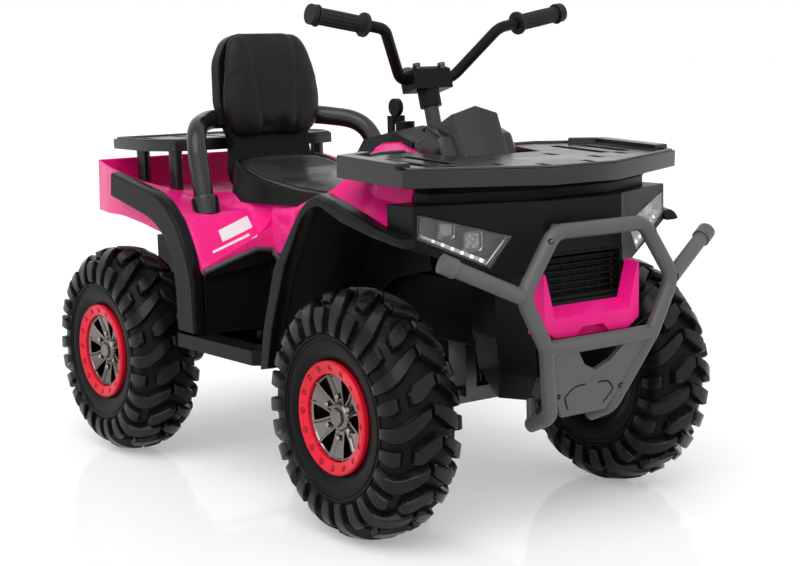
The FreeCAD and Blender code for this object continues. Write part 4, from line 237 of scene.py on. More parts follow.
grip_rubber = moulded(
    "grip_rubber", (0.008, 0.0078, 0.008), (0.011, 0.0108, 0.011), 0.5, 0.62, grain=0.8, depth=180,
    specular=0.25)
pad_leather = moulded(
    "pad_leather", (0.005, 0.005, 0.0054), (0.007, 0.007, 0.0075), 0.42, 0.52, grain=2.4, depth=300,
    dust=0, specular=0.18)
# the seat's leather made paler than the backrest's: painted highlight on the seat top
saddle_leather_highlight = moulded(
    "saddle_leather_highlight", (0.02, 0.02, 0.0215), (0.027, 0.027, 0.0288), 0.26, 0.34, grain=2.4, depth=200,
    specular=0.6)
welt_leather = moulded(
    "welt_leather", (0.006, 0.006, 0.0065), (0.009, 0.009, 0.0095), 0.36, 0.46, grain=1.6, depth=200,
    specular=0.3)
thread_grey = moulded("thread_grey", (0.03, 0.03, 0.032), (0.045, 0.045, 0.047), 0.6, 0.75, grain=0.6)
lamp_bowl = moulded(
    "lamp_bowl", (0.008, 0.008, 0.009), (0.014, 0.014, 0.015), 0.16, 0.24, depth=20, specular=0.3)
lamp_chrome = moulded(
    "lamp_chrome", (0.3, 0.3, 0.31), (0.22, 0.22, 0.228), 0.1, 0.18, depth=10, metallic=1, dust=0)
led_crystal = moulded(
    "led_crystal", (0.46, 0.46, 0.47), (0.34, 0.34, 0.355), 0.08, 0.14, depth=10, metallic=0.75, dust=0)
led_bar = moulded("led_bar", (0.62, 0.63, 0.65), (0.5, 0.51, 0.53), 0.16, 0.24, depth=10, dust=0)
# a grey lighter than the black plastic: painted highlight along the bulkhead lips
lip_highlight_grey = moulded("lip_highlight_grey", (0.05, 0.05, 0.053), (0.065, 0.065, 0.068), 0.26, 0.34, specular=0.5)
case_grey = moulded("case_grey", (0.04, 0.04, 0.044), (0.055, 0.055, 0.06), 0.5, 0.6, specular=0.3)

# each stripe: its inner and outer ends, then the levels of its lower and upper edge
STRIPES = ((0.129, 0.192, 0.440, 0.458), (0.141, 0.216, 0.431, 0.4345))
STRIPE_SLOPE, STRIPE_REAR, STRIPE_BLUR = 0.3, -0.2, 0.0008
STRIPE_COLOUR = (0.86, 0.85, 0.86)


def striped_finish():
    """The pink shell with a plain pale stripe on each flank, and a thin line below it."""
    made = pink_shell.copy()
    made.name = "striped_shell"
    tree = made.node_tree
    base = tree.nodes["Principled BSDF"].inputs["Base Color"]
    place = add(tree, "ShaderNodeSeparateXYZ", {0: object_place(tree)}).outputs
    aside = math_node(tree, "ABSOLUTE", place["Y"])
    level = math_node(tree, "ADD", place["Z"], math_node(tree, "MULTIPLY", aside, STRIPE_SLOPE))
    ahead = spread(tree, place["X"], STRIPE_REAR, STRIPE_REAR + STRIPE_BLUR)
    masks = []
    for inner, outer, low, high in STRIPES:
        mask = ahead
        for value, start, stop in ((aside, inner, outer), (level, low, high)):
            begun = spread(tree, value, start, start + STRIPE_BLUR)
            mask = product(tree, mask, begun, spread(tree, value, stop, stop + STRIPE_BLUR, 1, 0))
        masks.append(mask)
    stripe = math_node(tree, "MAXIMUM", *masks)
    tree.links.new(mixed(tree, stripe, base.links[0].from_socket, STRIPE_COLOUR), base)
    return made


def clear(name, grain, first, second, smooth, rough, glow=0, glass=0, ior=1.5):
    """Clear or lit plastic, in two close tones."""
    made, tree, shader = finish(name, ior=ior)
    patches = put(tree, moulded_grain, Size=grain * MM)["Patches"]
    tone = mixed(tree, patches, first, second)
    tree.links.new(tone, shader.inputs["Base Color"])
    tree.links.new(spread(tree, patches, 0, 1, smooth, rough), shader.inputs["Roughness"])
    shader.inputs["Transmission Weight"].default_value = glass
    if glow:
        tree.links.new(tone, shader.inputs["Emission Color"])
        shader.inputs["Emission Strength"].default_value = glow
    return made


striped_shell = striped_finish()
led_light = clear("led_light", 2, (0.92, 0.94, 1), (1, 1, 1), 0.12, 0.2, glow=0.9)
lamp_lens = clear("lamp_lens", 4, (0.93, 0.94, 0.95), (0.97, 0.97, 0.98), 0.02, 0.05, glass=1, ior=1.46)
FINISHES = {
    "pink_plastic": pink_shell, "black_plastic": black_shell, "grey_plastic": grained_black,
    "bar_grey": bar_paint, "tyre_black": tyre_rubber, "rim_chrome": dark_chrome, "ring_red": ring_red,
    "steel": steel_plain, "seat_leather": pad_leather, "lens_clear": lamp_lens, "lamp_silver": lamp_bowl,
    "grip_rubber": grip_rubber, "battery_case": case_grey, "drive_case": case_grey,
}
NODE_FINISHES = {"rear_body": striped_shell, "footboard_right": trim_black, "footboard_left": trim_black,
                 "steering_column": grained_black}


# Softened edges on the rigid pieces

JOIN_GAP, PLAIN_ANGLE, SOLID_ANGLE, FORM_ANGLE = 0.00001, 0.4, 32, 30
EDGE_WIDTH = {"grip_rubber": 0.0012, "steel": 0.0006, "tyre_black": 0.0016, "ring_red": 0.0008,
              "rim_chrome": 0.0012}
PLAIN_EDGE = 0.0018


def soft_edges(thing, width, angle):
    bevel = thing.modifiers.new("soft_edges", "BEVEL")
    bevel.width = width
    bevel.segments = 2
    bevel.limit_method = "ANGLE"
    bevel.angle_limit = radians(angle)
    thing.modifiers.new("even_shading", "WEIGHTED_NORMAL").keep_sharp = False
    return bevel


def soften(thing, width):
    """Join the facets of a solid piece, then round its edges."""
    thing.modifiers.new("joined_faces", "WELD").merge_threshold = JOIN_GAP
    plain = thing.modifiers.new("plain_faces", "DECIMATE")
    plain.decimate_type = "DISSOLVE"
    plain.angle_limit = radians(PLAIN_ANGLE)
    soft_edges(thing, width, SOLID_ANGLE).miter_outer = "MITER_ARC"


for name, thing in nodes.items():
    slot = thing.data.materials[0].name.split(".")[0] if thing.data.materials else "black_plastic"
    thing.data.materials.clear()
    thing.data.materials.append(NODE_FINISHES.get(name, FINISHES[slot]))
    if slot != "lens_clear":
        soften(thing, EDGE_WIDTH.get(slot, PLAIN_EDGE))


# Forms for the pieces that are added to the frame, measured in millimetres

def mirrored(half):
    """Half an outline and its mirror image."""
    return [*half, *[(-aside, up) for aside, up in reversed(half)]]


def turns(steps, start=0):
    return [start + tau * step / steps for step in range(steps)]


def round_about(axis, steps, start=0):
    """The axis at unit length, and the ways that point out from it all round."""
    axis = Vector(axis).normalized()
    across = axis.orthogonal().normalized()
    beside = axis.cross(across)
    return axis, [across * cos(turn) + beside * sin(turn) for turn in turns(steps, start)]


class Form:
    """A mesh that is gathered part by part."""

    def __init__(self):
        self.spots = []
        self.faces = []

    def join(self, spots, faces):
        start = len(self.spots)
        self.spots += [Vector(spot) for spot in spots]
        self.faces += [[start + corner for corner in face] for face in faces]
        return self

    def rings(self, rows, closed=False):
        """Bands of faces from ring to ring, with the two ends capped unless the last ring meets the first."""
        count = len(rows[0])
        faces = []
        for row in range(len(rows) if closed else len(rows) - 1):
            near, far = row * count, (row + 1) % len(rows) * count
            faces += [[near + step, near + (step + 1) % count, far + (step + 1) % count, far + step]
                      for step in range(count)]
        if not closed:
            last = (len(rows) - 1) * count
            faces += [list(range(count)), [last + step for step in range(count)]]
        return self.join([spot for row in rows for spot in row], faces)

    def prism(self, outline, sweep):
        return self.rings([outline, [Vector(spot) + Vector(sweep) for spot in outline]])

    def turned(self, base, axis, profile, steps, start=0):
        """A profile of (radius, height) turned about an axis."""
        axis, ways = round_about(axis, steps, start)
        return self.rings([[Vector(base) + axis * height + way * radius for way in ways]
                           for radius, height in profile])

    def spun(self, base, axis, loop, steps):
        """A ring: a closed outline of (radius, height) turned about an axis."""
        axis, ways = round_about(axis, steps)
        return self.rings([[Vector(base) + way * radius + axis * height for radius, height in loop]
                           for way in ways], closed=True)

    def swept(self, path, radius, sides=8, closed=False, flat=1, up=(0, 0, 1)):
        """A round or flattened bead along a path."""
        rows = []
        for step, spot in enumerate(path):
            before = path[step - 1] if step or closed else spot
            after = path[(step + 1) % len(path)] if step + 1 < len(path) or closed else spot
            along = (Vector(after) - Vector(before)).normalized()
            across = along.cross(Vector(up)).normalized()
            over = across.cross(along)
            rows.append([Vector(spot) + across * radius * cos(turn)
                         + over * radius * flat * sin(turn) for turn in turns(sides)])
        return self.rings(rows, closed)


def mesh_of(name, form):
    """The closed mesh that a form makes, in metres."""
    mesh = bpy.data.meshes.new(name)
    mesh.from_pydata([spot * MM for spot in form.spots], [], form.faces)
    work = bmesh.new()
    work.from_mesh(mesh)
    bmesh.ops.recalc_face_normals(work, faces=work.faces)
    work.to_mesh(mesh)
    work.free()
    return mesh


def shaped(name, form, finish, body="chassis", edge=0, crease=35):
    """The piece that a form makes, on its body."""
    mesh = mesh_of(name, form)
    mesh.materials.append(finish)
    mesh.polygons.foreach_set("use_smooth", [True] * len(mesh.polygons))
    mesh.set_sharp_from_angle(angle=radians(crease))
    thing = placed(name, mesh)
    if edge:
        soft_edges(thing, edge * MM, FORM_ANGLE)
    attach(thing, body)
    return thing


def smooth_path(spots, steps):
    """A curve through the spots, with the given steps between each two."""
    spots = [Vector(spot) for spot in spots]
    path = []
    for index in range(len(spots) - 1):
        first = spots[max(index - 1, 0)]
        start, end = spots[index], spots[index + 1]
        last = spots[min(index + 2, len(spots) - 1)]
        square = 2 * first - 5 * start + 4 * end - last
        cube = 3 * start - first - 3 * end + last
        for step in range(steps):
            t = step / steps
            path.append(0.5 * (2 * start + (end - first) * t + square * t ** 2 + cube * t ** 3))
    return path + [spots[-1]]


def bent_path(spots, bend, steps=8):
    """Straight runs with a rounded turn at each inner spot."""
    spots = [Vector(spot) for spot in spots]
    path = [spots[0]]
    for before, corner, after in zip(spots, spots[1:], spots[2:]):
        start = corner + (before - corner).normalized() * min(bend, (before - corner).length / 2)
        stop = corner + (after - corner).normalized() * min(bend, (after - corner).length / 2)
        for step in range(steps + 1):
            share = step / steps
            path.append(start.lerp(corner, share).lerp(corner.lerp(stop, share), share))
    return path + [spots[-1]]


# Wheels: a round casing with separate hooked lugs that run down over the shoulders

AXLE_Z, WHEEL_Y = 180, 245
AXLE_X = {"front": 327, "rear": -387}
CASING = ((166, 0), (164, 20), (158, 37), (148, 48.5), (135, 53), (119, 54.5), (103, 54), (90, 51),
          (80, 46))
CASING_STEPS, TYRE_TURNS, TYRE_CREASE = 4, 96, 28
LUG_COUNT, LUG_HEIGHT, LUG_FOOT, LUG_REACH = 13, 14, -2.5, 175
LUG_PITCH = tau / LUG_COUNT
LUG_DRAFT, LUG_CHAMFER, LUG_END = 2, 0.78, 2.5
# lugs grow lower from this distance on
LUG_SHOULDER, LUG_FALL = 25, 0.145
# each lug is a row of stations along its spine: place in the pitch, distance from the crown, half width
LUGS = (
    ((0.37, 9, 7), (0.29, 20, 10), (0.15, 34, 12.5), (0.05, 46, 13), (0, 58, 12), (0, 82, 10)),
    ((0.90, -4, 9), (0.82, 8, 12), (0.70, 22, 14), (0.64, 33, 10)),
    ((0.57, 48, 11), (0.53, 60, 13), (0.52, 80, 10)),
)
# each ridge on the sidewall: distance from the axle, radius of its bead
RIDGES, RIDGE_RISE = ((117, 2.3), (110.5, 1.2)), 0.4


def casing_line():
    """Spots of the half section from the crown to the bead, with the distance from the crown of each."""
    line = []
    run = 0
    for spot in smooth_path([(radius, aside, 0) for radius, aside in CASING], CASING_STEPS):
        run += (spot - line[-1][1]).length if line else 0
        line.append((run, spot))
    return line


CASING_LINE = casing_line()


def casing_spot(away, height):
    """Radius and place across the tyre of a spot that stands so high above the casing."""
    far = min(abs(away), CASING_LINE[-1][0] - 0.01)
    index = next(step for step, (run, spot) in enumerate(CASING_LINE) if run > far)
    (start, low), (stop, high) = CASING_LINE[index - 1], CASING_LINE[index]
    spot = low.lerp(high, (far - start) / (stop - start))
    along = (high - low).normalized()
    spot = spot + Vector((along.y, -along.x, 0)) * height
    return spot.x, copysign(spot.y, away)


def wheel_spot(centre, sign, radius, aside, turn):
    return centre + Vector((radius * cos(turn), aside * sign, radius * sin(turn)))


def lug(form, centre, sign, stations, side, start):
    """One lug, with drafted walls, a small chamfer and sloping ends."""
    spine = smooth_path(stations, 3)
    first, last = spine[0], spine[-1]
    shift = Vector((0, LUG_END, 0))
    rows = [(first - shift, 0), (first, 0.8), (first + shift, 1)]
    rows += [(spot, 1) for spot in spine[1:-1]]
    rows += [(last - shift, 1), (last, 0.8), (last + shift, 0)]
    rings = []
    for (place, away, half), share in rows:
        top = (LUG_HEIGHT - max(0, abs(away) - LUG_SHOULDER) * LUG_FALL) * share
        wall = [(-half - LUG_DRAFT, LUG_FOOT), (-half, top * LUG_CHAMFER), (-half + LUG_DRAFT, top)]
        ring = []
        for across, height in mirrored(wall):
            radius, aside = casing_spot(away, height)
            turn = start + place * LUG_PITCH + across / LUG_REACH
            ring.append(wheel_spot(centre, sign, radius, aside * side, turn))
        rings.append(ring)
    form.rings(rings)


def tyre(wheel, centre, sign):
    form = Form()
    half = [(spot.x, spot.y) for run, spot in CASING_LINE]
    whole = half[::-1] + [(radius, -aside) for radius, aside in half[1:]]
    form.spun(centre, (0, 1, 0), whole, TYRE_TURNS)
    for radius, bead in RIDGES:
        away = next(run for run, spot in CASING_LINE if spot.x <= radius)
        aside = casing_spot(away, RIDGE_RISE)[1]
        for way in (-1, 1):
            ring = [wheel_spot(centre, sign, radius, aside * way, turn) for turn in turns(TYRE_TURNS)]
            form.swept(ring, bead, 6, closed=True, up=(0, 1, 0))
    thing = shaped(f"{wheel}_casing", form, tyre_rubber, f"{wheel}_wheel", crease=TYRE_CREASE)
    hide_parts(f"{wheel}_tyre")
    lugs = Form()
    for step in range(LUG_COUNT):
        for stations in LUGS:
            lug(lugs, centre, sign, stations, 1, step * LUG_PITCH)
            lug(lugs, centre, sign, stations, -1, (step + 0.5) * LUG_PITCH)
    shaped(f"{wheel}_lugs", lugs, lug_rubber, f"{wheel}_wheel", crease=TYRE_CREASE)


# Rims: a dark barrel, six railed spokes, a six-sided cap and a nut on each spoke

SPOKES, RIM_TURNS, RIM_EDGE = 6, 72, 0.8
# each row: distance from the axle, depth of the face, half width of the spoke
SPOKE_ROWS = ((14, 37, 9.5), (24, 38, 11.5), (40, 41.5, 14), (53, 45, 17.5), (60, 46, 19))
# half of a spoke's section: distance from its side, height above its face
SPOKE_SECTION = ((0, -9), (0, 0), (1, 3.2), (4, 3.2), (6, 0))
LIP = ((57.5, 37), (57.5, 45.5), (59.5, 48.2), (62.4, 47), (62.4, 43.7), (72.8, 43.7), (72.8, 36), (64, 35))
BARREL = ((72.9, -44), (78.8, -44), (78.8, 43.7), (72.9, 43.7))
HUB = ((0.01, -50), (24, -50), (24, 30), (22, 38), (19, 42.5), (17, 44), (0.01, 44))
CAP_NOSE = ((0.01, 43), (15, 43), (14, 47.5), (11.5, 49), (0.01, 48.2))
NUT = ((0.01, 36), (4.6, 36), (4.6, 44.6), (3.6, 45.8), (0.01, 45.8))
NUT_CIRCLE = 30


def rim(wheel, centre, sign):
    out = Vector((0, sign, 0))
    form = Form()
    for spoke in range(SPOKES):
        turn = tau * (spoke + 0.5) / SPOKES
        along = Vector((cos(turn), 0, sin(turn)))
        across = Vector((-sin(turn), 0, cos(turn)))
        rows = []
        for radius, face, half in SPOKE_ROWS:
            section = mirrored([(step - half, face + rise) for step, rise in SPOKE_SECTION])
            rows.append([centre + along * radius + across * aside + out * deep for aside, deep in section])
        form.rings(rows)
        form.turned(centre + along * NUT_CIRCLE, out, NUT, 6, turn)
    form.spun(centre, out, LIP, RIM_TURNS)
    form.turned(centre, out, HUB, 36)
    form.turned(centre, out, CAP_NOSE, 6)
    thing = shaped(f"{wheel}_rim_face", form, dark_chrome, f"{wheel}_wheel", edge=RIM_EDGE)
    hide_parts(f"{wheel}_rim")
    barrel = Form().spun(centre, out, BARREL, RIM_TURNS)
    shaped(f"{wheel}_rim_barrel", barrel, black_shell, f"{wheel}_wheel", edge=RIM_EDGE)


# Bolts of the bead rings

BOLT_CIRCLE, BOLT_ASIDE, BOLT_COUNT, BOLT_TWIST = 72.2, 51.9, 16, 0.7
BOLT_HEAD = ((0.01, 0), (3.7, 0), (3.7, 2.9), (2.9, 3.9), (1.7, 3.9), (1.5, 2.9), (0.01, 2.9))


def ring_bolts(wheel, centre, sign):
    form = Form()
    for bolt in range(BOLT_COUNT):
        spot = wheel_spot(centre, sign, BOLT_CIRCLE, BOLT_ASIDE, tau * (0.25 + bolt / BOLT_COUNT))
        form.turned(spot, (0, sign, 0), BOLT_HEAD, 6, bolt * BOLT_TWIST)
    shaped(f"{wheel}_ring_bolts", form, bolt_red, f"{wheel}_wheel")


for end, axle_x in AXLE_X.items():
    for side, sign in SIDES.items():
        for make in (tyre, rim, ring_bolts):
            make(f"{end}_{side}", Vector((axle_x, WHEEL_Y * sign, AXLE_Z)), sign)


# Headlamps: what shows behind the clear lenses

LAMP_X, LAMP_Y, LAMP_Z = 499.5, 110, 391
LAMP_SWEEP = atan(0.415)
LAMP_FLOOR = -22.9
LAMP_OUTLINE = ((0, 42.9), (32.2, 0), (134.2, 45.2), (132.9, 78))
# each square light: its place along and up the lamp, and its half width
LED_SQUARES = ((91, 55, 10.5), (54, 38, 12.5))
# each step of a bezel: how far it stands out from the square, and its depth
BEZEL = ((2.2, LAMP_FLOOR), (2, -9), (1.1, -7.6), (0, -8.6), (-0.8, -12), (-1.2, -16))
BEZEL_CORNER = 0.42
FACETS, FACET_INSET, FACET_BRIM, FACET_PEAK, FACET_STEP = 4, 1.6, -11.6, -8.4, 1.2
FACET_FACES = ((0, 1, 5, 4), (1, 2, 6, 5), (2, 3, 7, 6), (3, 0, 4, 7), (0, 1, 2, 3),
               (4, 5, 8), (5, 6, 8), (6, 7, 8), (7, 4, 8))
BAR_START, BAR_STOP = Vector((37.2, 8.5)), Vector((127.2, 48.2))
BAR_EDGE, BAR_TOP, BAR_CHAMFER = -9, -8, 0.9
BAR_THIN, BAR_SWELL = 1.8, 1.6
# places of the lights as shares of the bar
LIGHT_COUNT, LIGHT_START, LIGHT_PITCH, LIGHT_FLOOR = 6, 0.06, 0.15, -9.4
LIGHT_RADIUS, LIGHT_SHRINK = 3, 0.18
# each step of a light: share of its radius, height
LIGHT_DOME = ((1, 0), (1, 1.9), (0.72, 3.1), (0.3, 3.7))
EDGING_INSET, EDGING_TURN, EDGING_DEPTH = 6.5, 0.14, -7
LENS_RIBS, RIB_START, RIB_PITCH = 6, 113, 3


def lamp_spot(sign, along, up, deep):
    turn = LAMP_SWEEP * sign
    side = along * sign
    return Vector((LAMP_X + deep * cos(turn) - side * sin(turn),
                   LAMP_Y * sign + deep * sin(turn) + side * cos(turn), LAMP_Z + up))


def rounded_square(half, corner, steps=5):
    spots = []
    for quarter in range(4):
        middle = tau * quarter / 4 + tau / 8
        x = copysign(half - corner, cos(middle))
        y = copysign(half - corner, sin(middle))
        for step in range(steps + 1):
            turn = tau / 4 * (quarter + step / steps)
            spots.append((x + corner * cos(turn), y + corner * sin(turn)))
    return spots


def lamp_bezels(side, sign):
    form = Form()
    for along, up, half in LED_SQUARES:
        rows = []
        for grow, deep in BEZEL:
            square = rounded_square(half + grow, half * BEZEL_CORNER)
            rows.append([lamp_spot(sign, along + x, up + y, deep) for x, y in square])
        form.rings(rows)
    shaped(f"headlamp_{side}_bezels", form, lamp_chrome)


def lamp_crystals(side, sign):
    """Faceted lenses, a grid of small points inside each bezel."""
    form = Form()
    for along, up, half in LED_SQUARES:
        cell = (half - FACET_INSET) * 2 / FACETS
        corners = ((0, 0), (cell, 0), (cell, cell), (0, cell))
        for column in range(FACETS):
            for row in range(FACETS):
                x = along - half + FACET_INSET + column * cell
                y = up - half + FACET_INSET + row * cell
                spots = [lamp_spot(sign, x + a, y + b, deep)
                         for deep in (LAMP_FLOOR, FACET_BRIM) for a, b in corners]
                peak = FACET_PEAK - FACET_STEP * ((column + row) % 2)
                form.join(spots + [lamp_spot(sign, x + cell / 2, y + cell / 2, peak)], FACET_FACES)
    shaped(f"headlamp_{side}_crystals", form, led_crystal, crease=10)


def lamp_light_bar(side, sign):
    """The row of lights along the lower edge, in its white bar."""
    form = Form()
    run = BAR_STOP - BAR_START
    over = Vector((-run.y, run.x)).normalized()
    rows = []
    for share in (0, 0.25, 0.5, 0.75, 1):
        thick = BAR_THIN + BAR_SWELL * (1 - share)
        section = mirrored([(-thick, LAMP_FLOOR), (-thick, BAR_EDGE), (BAR_CHAMFER - thick, BAR_TOP)])
        spot = BAR_START + run * share
        rows.append([lamp_spot(sign, *(spot + over * aside), deep) for aside, deep in section])
    form.rings(rows)
    shaped(f"headlamp_{side}_light_bar", form, led_bar)
    lights = Form()
    face = (lamp_spot(sign, 0, 0, 1) - lamp_spot(sign, 0, 0, 0)).normalized()
    for light in range(LIGHT_COUNT):
        spot = BAR_START + run * (LIGHT_START + LIGHT_PITCH * light)
        size = LIGHT_RADIUS - LIGHT_SHRINK * light
        dome = [(size * share, rise) for share, rise in LIGHT_DOME] + [(0.01, 3.8)]
        lights.turned(lamp_spot(sign, *spot, LIGHT_FLOOR), face, dome, 14)
    shaped(f"headlamp_{side}_lights", lights, led_light)


def lamp_edging(side, sign):
    """A bright bead inside the lens edge and fine ribs at its outer end."""
    form = Form()
    corners = [Vector(corner) for corner in LAMP_OUTLINE]
    middle = sum(corners, Vector((0, 0))) / len(corners)
    ring = []
    for before, corner, after in zip(corners[-1:] + corners, corners, corners[1:] + corners):
        inside = corner + (middle - corner).normalized() * EDGING_INSET
        ring += [inside.lerp(before, EDGING_TURN), inside, inside.lerp(after, EDGING_TURN)]
    form.swept([lamp_spot(sign, *spot, EDGING_DEPTH) for spot in ring], 1.5, 6, closed=True)
    (start, low), (stop, high) = LAMP_OUTLINE[0], LAMP_OUTLINE[-1]
    for rib in range(LENS_RIBS):
        along = RIB_START + rib * RIB_PITCH
        top = low + along * (high - low) / stop
        ends = [lamp_spot(sign, along, top - down, LAMP_FLOOR + 1) for down in (22, 9)]
        form.swept(ends, 1.1, 6)
    shaped(f"headlamp_{side}_edging", form, lamp_chrome)


on_both_sides(lamp_bezels, lamp_crystals, lamp_light_bar, lamp_edging)


# Handlebar grips: ribs along the rubber and a ring cap at each end

BAR_END, BAR_SHOULDER = Vector((217, 238, 741.4)), Vector((218.9, 110, 719.2))
GRIP_RADIUS, GRIP_RIBS = 11.8, 14
# each station of a rib: distance from the bar's end, and how far it sinks into the rubber
RIB_LINE = ((86, 1.2), (80, 0.2), (45, 0), (16, 0.2), (9, 1.2))
# each ring cap: distance from the bar's end, and radius
RING_CAPS = ((8, 16.2), (-1.5, 13.2))
RING_SECTION = ((-4, -1.6), (-0.5, -1.5), (0, 0), (-0.5, 1.5), (-4, 1.6))


def grip_ribs(side, sign):
    form = Form()
    tip, shoulder = [Vector((spot.x, spot.y * sign, spot.z)) for spot in (BAR_END, BAR_SHOULDER)]
    out, ways = round_about(tip - shoulder, GRIP_RIBS)
    for way in ways:
        path = [tip - out * back + way * (GRIP_RADIUS - drop) for back, drop in RIB_LINE]
        form.swept(path, 1.25, 6, up=way)
    for back, radius in RING_CAPS:
        section = [(radius + grow, rise) for grow, rise in RING_SECTION]
        form.turned(tip - out * back, out, section, 28)
    shaped(f"grip_{side}_ribs", form, grip_rubber, "steering")


on_both_sides(grip_ribs)


# Bull bar: socket screws, and the pressed lines and screws of its plate

PLATE_FOOT_X, PLATE_FOOT_Z, PLATE_SLOPE = 515, 176, 41 / 107
PLATE_FACE = Vector((0.934, 0, -0.358))
PLATE_WALL = 6
SCREW_HEAD = ((0.01, -2), (4.4, -2), (4.4, 0.6), (3.9, 1.2), (2.5, 1.2), (2.2, -0.8), (0.01, -0.8))
PRESSED_LINE = ((12, 222), (30, 221), (42, 212), (45, 205), (34, 187))
# the screw on each upright of the bar: the middle of the tube, the way out and the radius
UPRIGHT_SPOT, UPRIGHT_OUT, UPRIGHT_RADIUS = (556, 95, 428), (0.92, 0.30, 0.25), 9.2


def plate_spot(y, z):
    """A spot on the front of the plate."""
    return Vector((PLATE_FOOT_X + PLATE_SLOPE * (z - PLATE_FOOT_Z), y, z)) + PLATE_FACE * PLATE_WALL


def bull_bar_fittings():
    pressed = Form()
    screws = Form()
    for sign in (-1, 1):
        path = smooth_path([plate_spot(y * sign, z) for y, z in PRESSED_LINE], 6)
        pressed.swept(path, 1.5, 6, flat=0.4, up=PLATE_FACE)
        screws.turned(plate_spot(60 * sign, 210), PLATE_FACE, SCREW_HEAD, 16)
        middle, out = [Vector((x, y * sign, z)) for x, y, z in (UPRIGHT_SPOT, UPRIGHT_OUT)]
        out.normalize()
        screws.turned(middle + out * UPRIGHT_RADIUS, out, SCREW_HEAD, 16)
    shaped("bull_bar_plate_lines", pressed, black_shell)
    shaped("bull_bar_screws", screws, black_shell)


bull_bar_fittings()


# Front fenders: the arch, its lining over the wheel and the splash panel beside the chassis

ARCH_TOP = ((84, 213), (96, 277), (132, 375), (206, 466), (228, 482), (250, 488), (288, 479), (336, 465),
            (385, 450), (446, 439))
ARCH_LOW = ((454, 424), (384, 434), (311, 450), (262, 468), (248, 469), (230, 462), (209, 446), (162, 375),
            (122, 277), (106, 213))
# each layer of the arch: distance from the middle of the machine, drop of the top and rise of the foot
ARCH_LAYERS = ((237, 0, 0), (256, 0, 0), (264, 5, 2))
LINING_START, LINING_WIDTH, LINING_OVER = 97, 146, Vector((-2, 0, 5))
SPLASH = ((126, 290), (162, 374), (210, 446), (250, 468), (306, 449), (330, 372), (236, 352), (160, 300))
SPLASH_Y, SPLASH_WALL = 115.5, 2.5


def front_fender(side, sign):
    rows = []
    for y, drop, rise in ARCH_LAYERS:
        top = [(x, y * sign, z - drop) for x, z in ARCH_TOP]
        rows.append(top + [(x, y * sign, z + rise) for x, z in ARCH_LOW])
    thing = shaped(f"front_fender_{side}_arch", Form().rings(rows), trim_black, edge=2.2)
    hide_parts(f"front_fender_{side}")
    form = Form()
    inner = [Vector((x, LINING_START * sign, z)) for x, z in ARCH_LOW[1:]]
    form.prism(inner + [spot + LINING_OVER for spot in reversed(inner)], (0, LINING_WIDTH * sign, 0))
    form.prism([(x, SPLASH_Y * sign, z) for x, z in SPLASH], (0, SPLASH_WALL * sign, 0))
    shaped(f"front_fender_{side}_lining", form, black_shell, edge=1)


on_both_sides(front_fender)


# Rear body: the panel and lip of each footwell bulkhead, and the wall that closes the tail

BULKHEAD_X, BULKHEAD_WALL, LIP_RADIUS = -110.5, 5.5, 4.6
BULKHEAD_TOP = ((246, 341), (195, 356), (146, 370), (116, 366))
BULKHEAD_FOOT = ((112.5, 346), (245, 331))
LIP_END = ((-96, 116, 358), (-76, 116, 346))
TAIL_SPOTS, TAIL_HALF, TAIL_BOW = (-208, -170, -110, -50, 0, 50, 110, 170, 208), 208, 5
TAIL_SECTION = ((-531, 436), (-535, 500), (-537, 504), (-541, 504), (-543, 499), (-538, 436))


def bulkhead_lips():
    panels = Form()
    lips = Form()
    for sign in (-1, 1):
        outline = [(BULKHEAD_X, y * sign, z) for y, z in BULKHEAD_TOP + BULKHEAD_FOOT]
        panels.prism(outline, (BULKHEAD_WALL, 0, 0))
        path = [(BULKHEAD_X + 5, y * sign, z - 1) for y, z in BULKHEAD_TOP]
        lips.swept(path + [(x, y * sign, z) for x, y, z in LIP_END], LIP_RADIUS, 10, up=(1, 0, 0))
    shaped("bulkhead_panels", panels, black_shell, edge=1)
    shaped("bulkhead_lips", lips, lip_highlight_grey)


def tail_wall():
    rows = []
    for y in TAIL_SPOTS:
        bow = TAIL_BOW * (1 - (y / TAIL_HALF) ** 2)
        rows.append([(x - bow, y, z) for x, z in TAIL_SECTION])
    shaped("tail_wall", Form().rings(rows), pink_shell, edge=1.2)


bulkhead_lips()
tail_wall()


# Rear trims: a curved band along each fender

TRIM_TOP = ((-390, 491), (-190, 457), (-116, 352), (-114, 236))
TRIM_LOW = ((-168, 236), (-169, 343), (-213, 415), (-395, 451))
TRIM_BEND, TRIM_MIDDLE = 62, Vector((-230, 0, 380))
# each layer: distance from the middle of the machine, and how far it is drawn in
TRIM_LAYERS = ((243.4, 0), (257, 0), (264.6, 4))


def rear_trim(side, sign):
    outline = []
    for line in (TRIM_TOP, TRIM_LOW):
        outline += bent_path([(x, 0, z) for x, z in line], TRIM_BEND)
    rows = []
    for y, draw in TRIM_LAYERS:
        aside = Vector((0, y * sign, 0))
        rows.append([spot + (TRIM_MIDDLE - spot).normalized() * draw + aside for spot in outline])
    thing = shaped(f"rear_trim_{side}_band", Form().rings(rows), trim_black, edge=2.4)
    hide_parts(f"rear_trim_{side}")


# Armrests: a round loop that stands in a low collar

ARMREST = ((-188, 189.7, 418), (-234, 182, 563), (-303, 118, 577), (-303, 87, 577))
ARMREST_BEND, ARMREST_RADIUS, COLLAR_LIFT = 48, 16.6, Vector((0, 0, 6))
COLLAR = ((16, -3), (23, -2), (23, 26), (21.5, 30), (18.5, 31.5), (16, 31.5))


def armrest(side, sign):
    path = bent_path([(x, y * sign, z) for x, y, z in ARMREST], ARMREST_BEND, 12)
    form = Form().swept(path, ARMREST_RADIUS, 24)
    form.turned(path[0] + COLLAR_LIFT, path[1] - path[0], COLLAR, 32)
    thing = shaped(f"armrest_{side}_loop", form, grained_black, edge=0.8)
    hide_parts(f"armrest_{side}")


on_both_sides(rear_trim, armrest)


